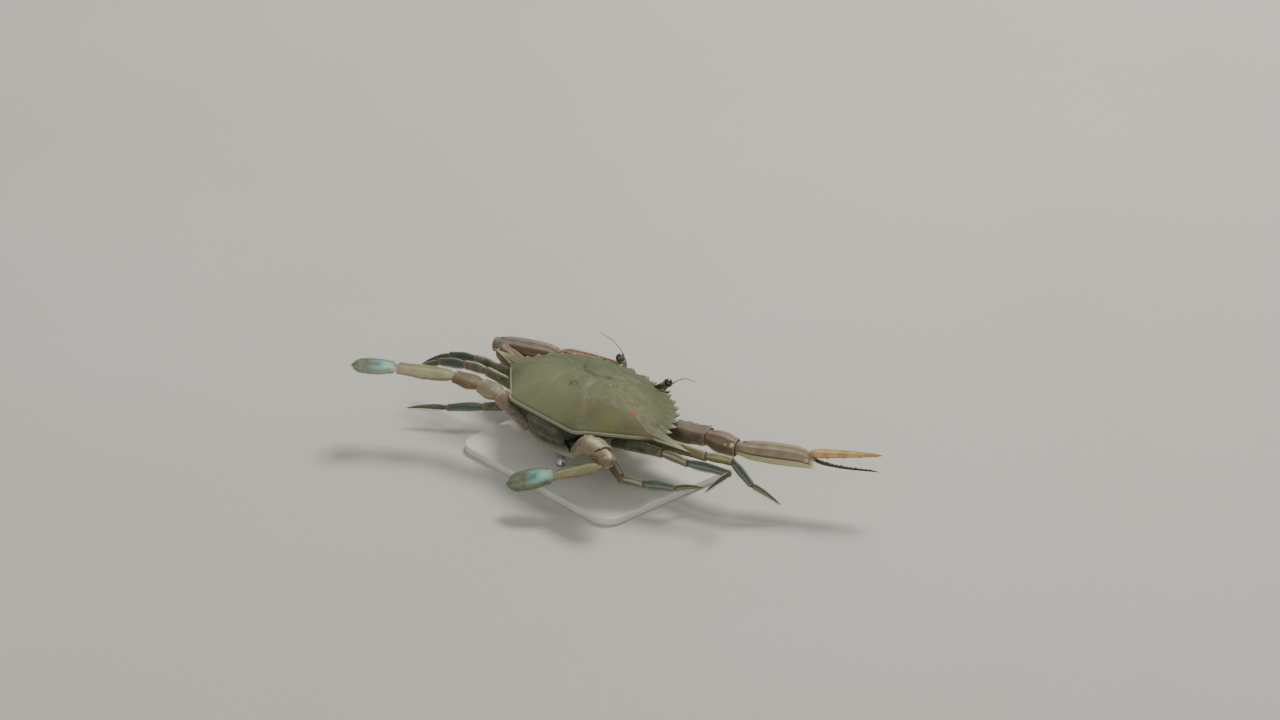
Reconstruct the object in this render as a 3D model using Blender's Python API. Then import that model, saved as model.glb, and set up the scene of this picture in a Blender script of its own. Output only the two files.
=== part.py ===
"""A life-size blue swimming crab, swimming sideways with one claw trailing, on a small display stand.

Metres, +Z up. The origin is the middle of the stand base's underside. The crab faces +Y, and its
right side is +X. Everything on the crab is set out in carapace lengths, on axes that start at the
middle of the carapace's hind margin, at the height of its rim.
"""

import math

import bmesh
import bpy
from mathutils import Vector

# Driving dimensions, in metres.
CARAPACE_LENGTH = 0.066
RIM_HEIGHT = 0.037
HIND_MARGIN_Y = -0.033
MIDLINE_X = -0.003
GAP = 0.0003

# Stand, in metres.
BASE_SIZE = (0.112, 0.084, 0.004)
BASE_CORNER = 0.010
ROD_RADIUS = 0.0025

# Everything below is in carapace lengths.
SPINE_TIP = (1.10, 0.515)
SPINE_ROOT_REAR = (0.80, 0.40)
ARC_CENTRE = (0.16, 0.42)
ARC_RADII = (0.64, 0.525)
ARC_FROM, ARC_TO = math.radians(11), math.radians(73)
TEETH = 7
TOOTH_REACH = 0.050
DOME_HEIGHT = 0.175
RIM_DROP = 0.05
RIM_THICKNESS = 0.03

THORAX_HALF_WIDTH = 0.34
THORAX_REAR, THORAX_FRONT = 0.10, 0.82
THORAX_TOP, THORAX_BOTTOM = -0.196, -0.325
ABDOMEN_BOTTOM = -0.366

# Each rod's place along the midline, and the height of the shell that it meets.
RODS = {
    "stand_rod_front": (0.70, THORAX_BOTTOM),
    "stand_rod_rear": (0.20, ABDOMEN_BOTTOM),
}

EYE_RADIUS = 0.036
ANTENNA_RADIUS = 0.005

LEG_SIDES = 8
CLAW_SIDES = 10
UPRIGHT = Vector((0.0, 0.0, 1.0))


def clear_scene():
    for old in list(bpy.data.objects):
        bpy.data.objects.remove(old, do_unlink=True)


def new_collection(name, hidden=False):
    collection = bpy.data.collections.new(name)
    bpy.context.scene.collection.children.link(collection)
    collection.hide_render = hidden
    return collection


def new_material(name, colour, roughness, metallic=0.0):
    material = bpy.data.materials.new(name)
    material.use_nodes = True
    shader = material.node_tree.nodes["Principled BSDF"]
    shader.inputs["Base Color"].default_value = (*colour, 1.0)
    shader.inputs["Roughness"].default_value = roughness
    shader.inputs["Metallic"].default_value = metallic
    return material


def place(x, y, z):
    """A point of the crab, given in carapace lengths, as a place in metres."""
    return Vector(
        (
            MIDLINE_X + x * CARAPACE_LENGTH,
            HIND_MARGIN_Y + y * CARAPACE_LENGTH,
            RIM_HEIGHT + z * CARAPACE_LENGTH,
        )
    )


def add_mesh_object(name, mesh_data, material, collection):
    mesh = bpy.data.meshes.new(name)
    mesh_data.to_mesh(mesh)
    mesh_data.free()
    mesh.shade_smooth()
    mesh.set_sharp_from_angle(angle=math.radians(50))
    mesh.materials.append(material)
    obj = bpy.data.objects.new(name, mesh)
    collection.objects.link(obj)
    return obj


def add_loft(name, rings, material, collection):
    """A closed solid through rings of points. A ring of one point is a tip."""
    work = bmesh.new()
    loops = [[work.verts.new(point) for point in ring] for ring in rings]
    for near, far in zip(loops, loops[1:]):
        count = max(len(near), len(far))
        for i in range(count):
            j = (i + 1) % count
            if len(near) == 1:
                work.faces.new((near[0], far[j], far[i]))
            elif len(far) == 1:
                work.faces.new((near[i], near[j], far[0]))
            else:
                work.faces.new((near[i], near[j], far[j], far[i]))
    for loop in (loops[0], loops[-1]):
        if len(loop) > 1:
            work.faces.new(loop)
    bmesh.ops.recalc_face_normals(work, faces=work.faces)
    return add_mesh_object(name, work, material, collection)


# ---------------------------------------------------------------- carapace


def between(first, last, count):
    """Points from first up to but not including last."""
    return [
        tuple(a + (b - a) * i / count for a, b in zip(first, last)) for i in range(count)
    ]


def tooth_profile(share):
    """How far a tooth stands out across its own length, from notch (0) to tip (1), leaning forward."""
    lean = 0.62
    return share / lean if share < lean else (1 - share) / (1 - lean)


def carapace_half_outline():
    """The right half of the rim from hind margin to front: (edge point, point without teeth)."""
    spine_root_front = (
        ARC_CENTRE[0] + ARC_RADII[0] * math.cos(ARC_FROM),
        ARC_CENTRE[1] + ARC_RADII[1] * math.sin(ARC_FROM),
    )
    orbit_outer = (0.365, 0.985)
    orbit_floor = (0.285, 0.915)
    orbit_inner = (0.195, 1.0)
    points = [(p, p) for p in between((0.0, -0.006), (0.345, 0.004), 3)]
    points += [((0.345, 0.004), (0.345, 0.004)), ((0.395, 0.032), (0.395, 0.032))]
    points += [(p, p) for p in between((0.425, 0.075), SPINE_ROOT_REAR, 5)]

    spine_root = ((SPINE_ROOT_REAR[0] + spine_root_front[0]) / 2, 0.46)
    for share, width in ((0.0, 0.5), (0.45, 0.26), (1.0, 0.0)):
        along = [r + share * (t - r) for r, t in zip(spine_root, SPINE_TIP)]
        half = width * (spine_root_front[1] - SPINE_ROOT_REAR[1])
        points.append(((along[0], along[1] - half), (spine_root[0], spine_root[1] - half)))
    half = 0.26 * (spine_root_front[1] - SPINE_ROOT_REAR[1])
    along = [r + 0.45 * (t - r) for r, t in zip(spine_root, SPINE_TIP)]
    points.append(((along[0], along[1] + half), (spine_root[0], spine_root[1] + half)))

    steps_in_tooth = 4
    for i in range(TEETH * steps_in_tooth):
        share = (i + 0.5) / (TEETH * steps_in_tooth)
        angle = ARC_FROM + share * (ARC_TO - ARC_FROM)
        base = (
            ARC_CENTRE[0] + ARC_RADII[0] * math.cos(angle),
            ARC_CENTRE[1] + ARC_RADII[1] * math.sin(angle),
        )
        reach = TOOTH_REACH * tooth_profile((i % steps_in_tooth + 0.5) / steps_in_tooth)
        out = Vector((math.cos(angle) * 0.9 + 0.15, math.sin(angle) + 0.15)).normalized()
        points.append(((base[0] + out.x * reach, base[1] + out.y * reach), base))

    base = (0.36, 0.93)
    points.append((orbit_outer, base))
    points.append(((0.335, 0.93), (0.33, 0.93)))
    points.append((orbit_floor, orbit_floor))
    points.append(((0.225, 0.93), (0.225, 0.925)))
    points.append((orbit_inner, (0.19, 0.94)))
    points.append(((0.145, 0.965), (0.14, 0.95)))
    points.append(((0.085, 1.02), (0.085, 0.96)))
    points.append(((0.03, 0.985), (0.03, 0.965)))
    return points


def carapace_outline():
    half = carapace_half_outline()
    middle_front = ((0.0, 0.975), (0.0, 0.965))
    left = [((-e[0], e[1]), (-b[0], b[1])) for e, b in reversed(half[1:])]
    return half + [middle_front] + left


def rim_height(x):
    return -RIM_DROP * x * x


def build_carapace(material, collection):
    """A domed shield over a body that narrows down to the breast plate."""
    outline = carapace_outline()
    centre_y = 0.5
    rings = [[place(0.0, centre_y, DOME_HEIGHT)]]
    for share in (0.22, 0.44, 0.64, 0.80, 0.92):
        height = DOME_HEIGHT * (1 - share**2.4)
        ring = []
        for _, (x, y) in outline:
            inner_x = x * share
            inner_y = centre_y + (y - centre_y) * share
            ring.append(place(inner_x, inner_y, height + rim_height(inner_x)))
        rings.append(ring)
    rings.append([place(x, y, rim_height(x)) for (x, y), _ in outline])
    rings.append(
        [place(x * 0.99, 0.005 + y * 0.99, rim_height(x) - RIM_THICKNESS) for (x, y), _ in outline]
    )
    # (share of the width, hind end, front end, height)
    underside = (
        (0.90, 0.030, 0.95, -0.062),
        (0.64, 0.050, 0.91, -0.135),
        (0.44, 0.065, 0.86, -0.190),
    )
    for wide, rear, front, height in underside:
        rings.append([place(x * wide, rear + (front - rear) * y, height) for _, (x, y) in outline])
    return add_loft("carapace", rings, material, collection)


# ---------------------------------------------------------------- underside


def build_thorax(material, collection):
    """The breast plate: a rounded block that the limbs hang on, dished up at its sides."""
    middle = (THORAX_REAR + THORAX_FRONT) / 2
    half_length = (THORAX_FRONT - THORAX_REAR) / 2
    count = 32
    rings = []
    for scale, height in ((1.0, THORAX_TOP), (1.0, -0.27), (0.93, -0.305), (0.80, THORAX_BOTTOM)):
        ring = []
        for i in range(count):
            angle = 2 * math.pi * i / count
            c, s = math.cos(angle), math.sin(angle)
            size = scale * (abs(c) ** 3 + abs(s) ** 3) ** (-1 / 3)
            ring.append(place(THORAX_HALF_WIDTH * c * size, middle + half_length * s * size, height))
        rings.append(ring)
    return add_loft("thorax", rings, material, collection)


def build_abdomen(material, collection):
    """The broad folded tail flap, round the hind edge and forward along the breast plate."""
    half_thick = 0.014
    hollow = 0.4 * half_thick
    # (y, z, half width, direction of the plate's outer face)
    stations = (
        (0.012, -0.060, 0.20, (-1.0, 0.1)),
        (0.020, -0.120, 0.20, (-1.0, -0.1)),
        (0.038, -0.195, 0.21, (-1.0, -0.3)),
        (0.072, -0.275, 0.23, (-0.9, -0.5)),
        (0.140, -0.342, 0.25, (-0.4, -1.0)),
        (0.260, -0.349, 0.26, (0.0, -1.0)),
        (0.400, -0.348, 0.22, (0.0, -1.0)),
        (0.500, -0.346, 0.14, (0.0, -1.0)),
        (0.560, -0.345, 0.07, (0.0, -1.0)),
        (0.650, -0.344, 0.02, (0.0, -1.0)),
    )
    across = (-1.0, -0.7, 0.0, 0.7, 1.0)
    rings = []
    for y, z, half_width, (out_y, out_z) in stations:
        size = math.hypot(out_y, out_z)
        out_y, out_z = out_y / size, out_z / size
        outer = []
        inner = []
        for a in across:
            crown = half_thick * (1.2 - 0.5 * abs(a))
            outer.append(place(a * half_width, y + out_y * crown, z + out_z * crown))
            inner.append(place(a * half_width, y - out_y * hollow, z - out_z * hollow))
        rings.append(outer + inner[::-1])
    return add_loft("abdomen", rings, material, collection)


def build_maxilliped(side, sign, material, collection):
    """One of the two plates that close over the mouth like shutters."""
    # (y, z, inner x, outer x)
    stations = (
        (0.955, -0.098, 0.020, 0.085),
        (0.945, -0.145, 0.012, 0.135),
        (0.915, -0.200, 0.012, 0.160),
        (0.880, -0.260, 0.012, 0.150),
        (0.845, -0.315, 0.018, 0.090),
    )
    half_thick = 0.016
    rings = []
    for y, z, inner, outer in stations:
        middle = (inner + outer) / 2
        half = (outer - inner) / 2
        ring = []
        for i in range(LEG_SIDES):
            angle = 2 * math.pi * i / LEG_SIDES
            thick = half_thick * math.sin(angle)
            x = middle + half * math.cos(angle)
            ring.append(place(sign * x, y + 0.85 * thick, z + 0.5 * thick))
        rings.append(ring)
    return add_loft(f"maxilliped_{side}", rings, material, collection)


# ---------------------------------------------------------------- eyes and feelers


def build_eye(side, sign, materials, collection):
    """A short bent stalk out of the orbit, with a round eye on its end."""
    route = (
        (0.098, 0.966, -0.082, 0.020),
        (0.185, 1.012, -0.068, 0.021),
        (0.240, 1.034, -0.022, 0.024),
    )
    points = [place(sign * x, y, z) for x, y, z, _ in route]
    ways = [(far - near).normalized() for near, far in zip(points, points[1:])]
    tangents = [ways[0], (ways[0] + ways[1]).normalized(), ways[1]]
    radii = [radius * CARAPACE_LENGTH for _, _, _, radius in route]
    rings = [
        section(point, way, UPRIGHT, radius, radius, LEG_SIDES)
        for point, way, radius in zip(points, tangents, radii)
    ]
    add_loft(f"eyestalk_{side}", rings, materials["shell"], collection)

    radius = EYE_RADIUS * CARAPACE_LENGTH
    globe = bmesh.new()
    bmesh.ops.create_uvsphere(globe, u_segments=12, v_segments=8, radius=radius)
    eye = add_mesh_object(f"eye_{side}", globe, materials["eye"], collection)
    eye.location = points[-1] + ways[1] * (radius + GAP)


def build_antenna(side, sign, material, collection):
    """A stout base joint that runs out into a fine whip."""
    route = (
        (0.172, 0.945, -0.118, 2.8),
        (0.190, 1.010, -0.115, 2.4),
        (0.240, 1.085, -0.050, 1.0),
        (0.310, 1.105, 0.020, 0.9),
        (0.410, 1.100, 0.080, 0.8),
        (0.530, 1.080, 0.105, 0.8),
    )
    curve = bpy.data.curves.new(f"antenna_{side}", "CURVE")
    curve.dimensions = "3D"
    curve.bevel_depth = ANTENNA_RADIUS * CARAPACE_LENGTH
    curve.bevel_resolution = 1
    curve.use_fill_caps = True
    spline = curve.splines.new("POLY")
    spline.points.add(len(route) - 1)
    for point, (x, y, z, size) in zip(spline.points, route):
        point.co = (*place(sign * x, y, z), 1.0)
        point.radius = size
    curve.materials.append(material)
    antenna = bpy.data.objects.new(f"antenna_{side}", curve)
    collection.objects.link(antenna)


# ---------------------------------------------------------------- limbs


def section(centre, axis, broad, half_broad, half_thin, sides):
    """An oval ring of points about an axis; broad is the way that its wide side lies."""
    wide = (broad - axis * broad.dot(axis)).normalized()
    thin = axis.cross(wide)
    ring = []
    for i in range(sides):
        angle = 2 * math.pi * (i + 0.5) / sides
        across = wide * (half_broad * math.cos(angle))
        ring.append(centre + across + thin * (half_thin * math.sin(angle)))
    return ring


def on_plane(point, axis, plane_point, plane_normal):
    """Where a line through a point along the axis meets a plane."""
    return point + axis * ((plane_point - point).dot(plane_normal) / axis.dot(plane_normal))


def segment_rings(start, end, start_normal, end_normal, stations, broad, sides):
    """Rings from joint to joint. Each end is cut on its joint's plane, half a gap short of it."""
    axis = (end - start).normalized()
    near_plane = start + start_normal * (GAP / 2)
    far_plane = end - end_normal * (GAP / 2)
    rings = []
    for share, half_broad, half_thin in stations:
        wide = half_broad * CARAPACE_LENGTH
        thin = half_thin * CARAPACE_LENGTH
        flat = section(start, axis, broad, wide, thin, sides)
        ring = []
        for point in flat:
            near = on_plane(point, axis, near_plane, start_normal)
            far = on_plane(point, axis, far_plane, end_normal)
            ring.append(near.lerp(far, share))
        rings.append(ring)
    return rings


def joint_normals(joints, first_normal):
    """The way each joint's cut faces: half way between the segments that meet there."""
    ways = [(b - a).normalized() for a, b in zip(joints, joints[1:])]
    inner = [(a + b).normalized() for a, b in zip(ways, ways[1:])]
    return [first_normal] + inner + [ways[-1]]


def build_leg(names, joints, first_normal, profiles, broads, material, collection):
    """A leg's segments from its joints. The last one runs to a tip."""
    normals = joint_normals(joints, first_normal)
    for i, name in enumerate(names):
        rings = segment_rings(
            joints[i], joints[i + 1], normals[i], normals[i + 1], profiles[i], broads[i], LEG_SIDES
        )
        if profiles[i][-1][1] == 0:
            rings[-1] = [joints[i + 1]]
        add_loft(name, rings, material, collection)


WALKING_PROFILES = (
    # Merus, carpus, propodus and dactyl: share of the length, half height, half thickness.
    (
        (0.00, 0.046, 0.044),
        (0.16, 0.040, 0.036),
        (0.24, 0.048, 0.036),
        (0.60, 0.053, 0.036),
        (1.00, 0.038, 0.031),
    ),
    ((0.00, 0.034, 0.028), (0.45, 0.043, 0.033), (1.00, 0.036, 0.029)),
    ((0.00, 0.033, 0.026), (0.40, 0.043, 0.027), (1.00, 0.030, 0.021)),
    ((0.00, 0.027, 0.018), (0.35, 0.026, 0.016), (0.75, 0.014, 0.010), (1.00, 0.000, 0.000)),
)

WALKING_JOINTS = {
    "walking_leg_1_right": (
        (0.350, 0.56, -0.260),
        (1.08, 0.69, -0.165),
        (1.27, 0.78, -0.165),
        (1.45, 0.81, -0.300),
        (1.66, 0.92, -0.430),
    ),
    "walking_leg_2_right": (
        (0.350, 0.43, -0.255),
        (0.86, 0.45, -0.140),
        (1.07, 0.51, -0.160),
        (1.40, 0.63, -0.160),
        (1.42, 0.36, -0.215),
    ),
    "walking_leg_3_right": (
        (0.345, 0.30, -0.265),
        (0.70, 0.19, -0.330),
        (0.84, 0.27, -0.345),
        (1.02, 0.42, -0.360),
        (1.12, 0.64, -0.400),
    ),
    "walking_leg_1_left": (
        (-0.350, 0.56, -0.260),
        (-0.98, 0.44, -0.145),
        (-1.17, 0.38, -0.125),
        (-1.42, 0.34, -0.180),
        (-1.68, 0.26, -0.330),
    ),
    "walking_leg_2_left": (
        (-0.350, 0.43, -0.265),
        (-0.95, 0.30, -0.115),
        (-1.13, 0.24, -0.110),
        (-1.38, 0.20, -0.170),
        (-1.62, 0.10, -0.320),
    ),
    "walking_leg_3_left": (
        (-0.345, 0.30, -0.265),
        (-0.76, 0.37, -0.375),
        (-0.94, 0.25, -0.400),
        (-1.13, 0.05, -0.410),
        (-1.37, -0.17, -0.430),
    ),
}

# The way a leg's broad sides lie: upright, but the last left leg is turned over towards flat.
TURNED = Vector((-0.55, 0.75, 0.35))
LEG_BROADS = {"walking_leg_3_left": (UPRIGHT, TURNED, TURNED, TURNED)}


def build_walking_leg(name, joints, material, collection):
    sign = math.copysign(1.0, joints[0][0])
    build_leg(
        [f"{name}_{part}" for part in ("merus", "carpus", "propodus", "dactyl")],
        [place(*joint) for joint in joints],
        Vector((sign, 0.0, 0.0)),
        WALKING_PROFILES,
        LEG_BROADS.get(name, (UPRIGHT,) * 4),
        material,
        collection,
    )


SWIMMING_PROFILES = (
    # Base, merus, carpus, propodus and paddle: share of the length, half breadth, half thickness.
    ((0.00, 0.060, 0.050), (0.50, 0.072, 0.050), (1.00, 0.075, 0.046)),
    ((0.00, 0.074, 0.046), (0.45, 0.100, 0.055), (1.00, 0.078, 0.044)),
    ((0.00, 0.074, 0.040), (0.45, 0.098, 0.048), (1.00, 0.068, 0.036)),
    (
        (0.00, 0.062, 0.028),
        (0.22, 0.092, 0.028),
        (0.55, 0.108, 0.022),
        (0.85, 0.085, 0.016),
        (1.00, 0.055, 0.013),
    ),
    (
        (0.00, 0.052, 0.012),
        (0.12, 0.088, 0.012),
        (0.32, 0.118, 0.012),
        (0.55, 0.124, 0.011),
        (0.76, 0.104, 0.009),
        (0.92, 0.062, 0.007),
        (1.00, 0.000, 0.000),
    ),
)

SWIMMING_JOINTS = {
    "swimming_leg_right": (
        (0.275, 0.13, -0.240),
        (0.49, 0.035, -0.040),
        (0.65, 0.030, -0.065),
        (0.78, -0.065, -0.080),
        (0.43, -0.225, -0.255),
        (0.17, -0.495, -0.330),
    ),
    "swimming_leg_left": (
        (-0.275, 0.13, -0.240),
        (-0.49, 0.035, -0.045),
        (-0.68, 0.020, -0.030),
        (-0.92, -0.045, -0.025),
        (-1.28, -0.305, 0.000),
        (-1.53, -0.560, 0.020),
    ),
}

SWIMMING_BROADS = {
    # The way each segment's broad side lies.
    "swimming_leg_right": (
        (0.2, 1.0, 0.1),
        (0.1, 1.0, 0.1),
        (0.7, 0.7, 0.2),
        (0.40, -0.90, -0.1),
        (0.72, -0.66, -0.24),
    ),
    "swimming_leg_left": (
        (0.2, 1.0, -0.1),
        (0.1, 1.0, 0.0),
        (0.3, 1.0, 0.0),
        (0.6, -0.8, -0.05),
        (0.7, -0.7, -0.05),
    ),
}


def build_swimming_leg(name, joints, material, collection):
    sign = math.copysign(1.0, joints[0][0])
    build_leg(
        [f"{name}_{part}" for part in ("base", "merus", "carpus", "propodus", "paddle")],
        [place(*joint) for joint in joints],
        Vector((sign, -1.0, 0.3)).normalized(),
        SWIMMING_PROFILES,
        [Vector(broad) for broad in SWIMMING_BROADS[name]],
        material,
        collection,
    )


CLAW_ARM_PROFILES = (
    # Base, merus and carpus: share of the length, half height, half thickness.
    ((0.00, 0.056, 0.058), (1.00, 0.056, 0.056)),
    ((0.00, 0.054, 0.054), (0.25, 0.072, 0.070), (0.65, 0.080, 0.078), (1.00, 0.060, 0.060)),
    ((0.00, 0.058, 0.058), (0.30, 0.080, 0.078), (0.65, 0.084, 0.082), (1.00, 0.064, 0.060)),
)

CLAWS = {
    # arm: its root, the end of the base and the elbow. hand: the palm's heel and the fingers' tips.
    # wrist: None where the carpus runs straight on into the palm. Otherwise how far along the palm
    # from its heel, and how far out from its middle line, the carpus meets the palm's side.
    "claw_right": {
        "arm": ((0.335, 0.700, -0.240), (0.42, 0.765, -0.195), (0.935, 0.840, -0.118)),
        "hand": ((1.175, 0.915, -0.135), (2.10, 1.530, -0.150)),
        "wrist": None,
        "girth": 1.0,
        "opening": 1.0,
    },
    "claw_left": {
        "arm": ((-0.335, 0.695, -0.240), (-0.42, 0.690, -0.230), (-0.89, 0.610, -0.205)),
        "hand": ((-1.285, 0.675, -0.140), (-0.330, 1.170, -0.175)),
        "wrist": (0.130, 0.098),
        "girth": 1.12,
        "opening": 0.35,
    },
}

PALM_STATIONS = (
    # Share of the hand's length, middle, half height, half thickness.
    (0.00, -0.004, 0.052, 0.050),
    (0.08, -0.004, 0.072, 0.064),
    (0.22, -0.004, 0.084, 0.073),
    (0.40, -0.005, 0.085, 0.069),
    (0.49, -0.006, 0.080, 0.057),
)

FINGERS_FROM = 0.50
FIXED_FINGER = (
    # Share of the finger's length, middle when shut, further spread when open, half height,
    # half thickness.
    (0.03, -0.048, 0.000, 0.035, 0.040),
    (0.20, -0.044, 0.018, 0.030, 0.034),
    (0.45, -0.035, 0.036, 0.024, 0.027),
    (0.78, -0.020, 0.038, 0.014, 0.017),
    (1.00, -0.006, 0.036, 0.000, 0.000),
)
MOVING_FINGER = (
    (0.03, 0.037, 0.000, 0.037, 0.042),
    (0.15, 0.036, 0.012, 0.036, 0.037),
    (0.45, 0.030, 0.038, 0.029, 0.028),
    (0.75, 0.018, 0.066, 0.018, 0.018),
    (0.92, 0.008, 0.086, 0.009, 0.010),
    (1.00, 0.000, 0.096, 0.000, 0.000),
)


def build_hand(name, heel, tip, heel_normal, claw, material, collection):
    """The palm with its fixed lower finger, and the movable upper finger above it."""
    axis = (tip - heel).normalized()
    length = (tip - heel).length
    rise = (UPRIGHT - axis * UPRIGHT.dot(axis)).normalized()
    unit = CARAPACE_LENGTH * claw["girth"]

    def ring(share, middle, half_height, half_thick):
        centre = heel + axis * (length * share) + rise * (middle * unit)
        if half_height == 0:
            return [centre]
        return section(centre, axis, rise, half_height * unit, half_thick * unit, CLAW_SIDES)

    def finger(stations, past_palm):
        return [
            ring(
                FINGERS_FROM + (1 - FINGERS_FROM) * share + past_palm,
                middle + math.copysign(spread * claw["opening"], middle or 1.0),
                half_height,
                half_thick,
            )
            for share, middle, spread, half_height, half_thick in stations
        ]

    palm = [ring(*station) for station in PALM_STATIONS]
    cut = heel + heel_normal * (GAP / 2)
    palm[0] = [on_plane(point, axis, cut, heel_normal) for point in palm[0]]
    add_loft(f"{name}_palm", palm + finger(FIXED_FINGER, 0.0), material, collection)
    add_loft(f"{name}_dactyl", finger(MOVING_FINGER, 0.004), material, collection)


def add_arm_spines(arm, root, elbow, forward, material, cutters):
    """Three sharp spines along the arm's front edge, joined to it."""
    for i, share in enumerate((0.42, 0.62, 0.82)):
        work = bmesh.new()
        bmesh.ops.create_cone(
            work,
            cap_ends=True,
            segments=6,
            radius1=0.018 * CARAPACE_LENGTH,
            radius2=0.003 * CARAPACE_LENGTH,
            depth=0.070 * CARAPACE_LENGTH,
        )
        spine = add_mesh_object(f"{arm.name}_spine_{i + 1}", work, material, cutters)
        spine.rotation_mode = "QUATERNION"
        spine.rotation_quaternion = forward.to_track_quat("Z", "Y")
        spine.location = root.lerp(elbow, share) + forward * (0.088 * CARAPACE_LENGTH)
        spine.hide_render = True
        spine.display_type = "WIRE"
        union = arm.modifiers.new(f"spine_{i + 1}", "BOOLEAN")
        union.operation = "UNION"
        union.object = spine


def build_claw(name, claw, material, collection, cutters):
    heel, tip = (place(*point) for point in claw["hand"])
    joints = [place(*joint) for joint in claw["arm"]]
    side = Vector((math.copysign(1.0, claw["arm"][0][0]), 0.0, 0.0))
    hand_way = (tip - heel).normalized()
    if claw["wrist"] is None:
        normals = joint_normals(joints + [heel, tip], side)
        joints.append(heel)
        heel_normal = normals[3]
    else:
        along, out = (size * CARAPACE_LENGTH for size in claw["wrist"])
        into_palm = UPRIGHT.cross(hand_way).normalized()
        joints.append(heel + hand_way * along - into_palm * out)
        normals = joint_normals(joints, side)
        normals[3] = into_palm
        heel_normal = hand_way
    parts = []
    for i, part in enumerate(("base", "merus", "carpus")):
        rings = segment_rings(
            joints[i],
            joints[i + 1],
            normals[i],
            normals[i + 1],
            CLAW_ARM_PROFILES[i],
            UPRIGHT,
            CLAW_SIDES,
        )
        parts.append(add_loft(f"{name}_{part}", rings, material, collection))
    arm_way = (joints[2] - joints[1]).normalized()
    forward = UPRIGHT.cross(arm_way).normalized() * side.x
    add_arm_spines(parts[1], joints[1], joints[2], forward, material, cutters)
    build_hand(name, heel, tip, heel_normal, claw, material, collection)


# ---------------------------------------------------------------- stand


def build_stand_base(material, collection):
    work = bmesh.new()
    bmesh.ops.create_cube(work, size=1.0)
    for vert in work.verts:
        vert.co.x *= BASE_SIZE[0]
        vert.co.y *= BASE_SIZE[1]
        vert.co.z *= BASE_SIZE[2]
    upright = [e for e in work.edges if abs(e.verts[0].co.z - e.verts[1].co.z) > BASE_SIZE[2] / 2]
    bmesh.ops.bevel(work, geom=upright, offset=BASE_CORNER, segments=5, profile=0.5, affect="EDGES")
    base = add_mesh_object("stand_base", work, material, collection)
    base.location.z = BASE_SIZE[2] / 2


def build_stand_rod(name, along, shell_height, material, collection):
    foot = place(0.0, along, 0.0)
    low = BASE_SIZE[2] + GAP
    top = RIM_HEIGHT + shell_height * CARAPACE_LENGTH - GAP
    work = bmesh.new()
    bmesh.ops.create_cone(
        work,
        cap_ends=True,
        segments=16,
        radius1=ROD_RADIUS,
        radius2=ROD_RADIUS,
        depth=top - low,
    )
    rod = add_mesh_object(name, work, material, collection)
    rod.location = (foot.x, foot.y, (top + low) / 2)


def main():
    clear_scene()
    crab = new_collection("blue_swimming_crab")
    cutters = new_collection("cutters", hidden=True)
    materials = {
        "shell": new_material("olive_shell", (0.125, 0.125, 0.060), 0.45),
        "pale": new_material("pale_underside", (0.62, 0.60, 0.52), 0.50),
        "claw": new_material("claw_shell", (0.16, 0.075, 0.055), 0.40),
        "leg": new_material("leg_shell", (0.14, 0.13, 0.075), 0.45),
        "eye": new_material("eye", (0.012, 0.010, 0.008), 0.12),
        "base": new_material("stand_plate", (0.70, 0.69, 0.66), 0.45),
        "rod": new_material("stand_steel", (0.55, 0.55, 0.55), 0.30, 1.0),
    }
    build_carapace(materials["shell"], crab)
    build_thorax(materials["pale"], crab)
    build_abdomen(materials["pale"], crab)
    for side, sign in (("right", 1.0), ("left", -1.0)):
        build_maxilliped(side, sign, materials["pale"], crab)
        build_eye(side, sign, materials, crab)
        build_antenna(side, sign, materials["leg"], crab)
    for name, claw in CLAWS.items():
        build_claw(name, claw, materials["claw"], crab, cutters)
    for name, joints in WALKING_JOINTS.items():
        build_walking_leg(name, joints, materials["leg"], crab)
    for name, joints in SWIMMING_JOINTS.items():
        build_swimming_leg(name, joints, materials["leg"], crab)
    build_stand_base(materials["base"], crab)
    for name, (along, shell_height) in RODS.items():
        build_stand_rod(name, along, shell_height, materials["rod"], crab)


main()
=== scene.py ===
"""The looks of the blue swimming crab: shell plates, limbs, eyes, fringes of bristles and its stand.

Each piece is measured from the CAD solid that it stands for. Lengths called "units" are carapace
lengths, on axes that start at the middle of the carapace's hind margin, at the height of its rim.
"""

import math

import bpy
import numpy as np
from mathutils import Matrix, Vector
from mathutils.bvhtree import BVHTree


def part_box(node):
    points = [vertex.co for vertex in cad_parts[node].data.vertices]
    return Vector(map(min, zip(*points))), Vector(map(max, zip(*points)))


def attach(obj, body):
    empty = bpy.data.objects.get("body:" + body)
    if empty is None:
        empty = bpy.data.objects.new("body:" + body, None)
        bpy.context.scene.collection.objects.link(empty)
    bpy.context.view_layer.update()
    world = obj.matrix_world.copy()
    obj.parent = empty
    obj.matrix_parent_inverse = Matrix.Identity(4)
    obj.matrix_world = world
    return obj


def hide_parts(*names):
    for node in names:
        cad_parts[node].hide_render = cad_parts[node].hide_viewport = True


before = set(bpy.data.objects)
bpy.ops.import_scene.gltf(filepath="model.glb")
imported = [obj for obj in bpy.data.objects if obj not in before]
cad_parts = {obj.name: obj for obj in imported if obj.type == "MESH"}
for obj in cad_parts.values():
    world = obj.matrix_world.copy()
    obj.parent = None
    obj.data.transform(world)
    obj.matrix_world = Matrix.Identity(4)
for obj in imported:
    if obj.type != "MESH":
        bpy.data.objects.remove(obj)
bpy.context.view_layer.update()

# ---------------------------------------------------------------- sizes, from the frame

MM = 0.001
UP = np.array((0.0, 0.0, 1.0))
SIDES = (("right", 1.0), ("left", -1.0))
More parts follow.
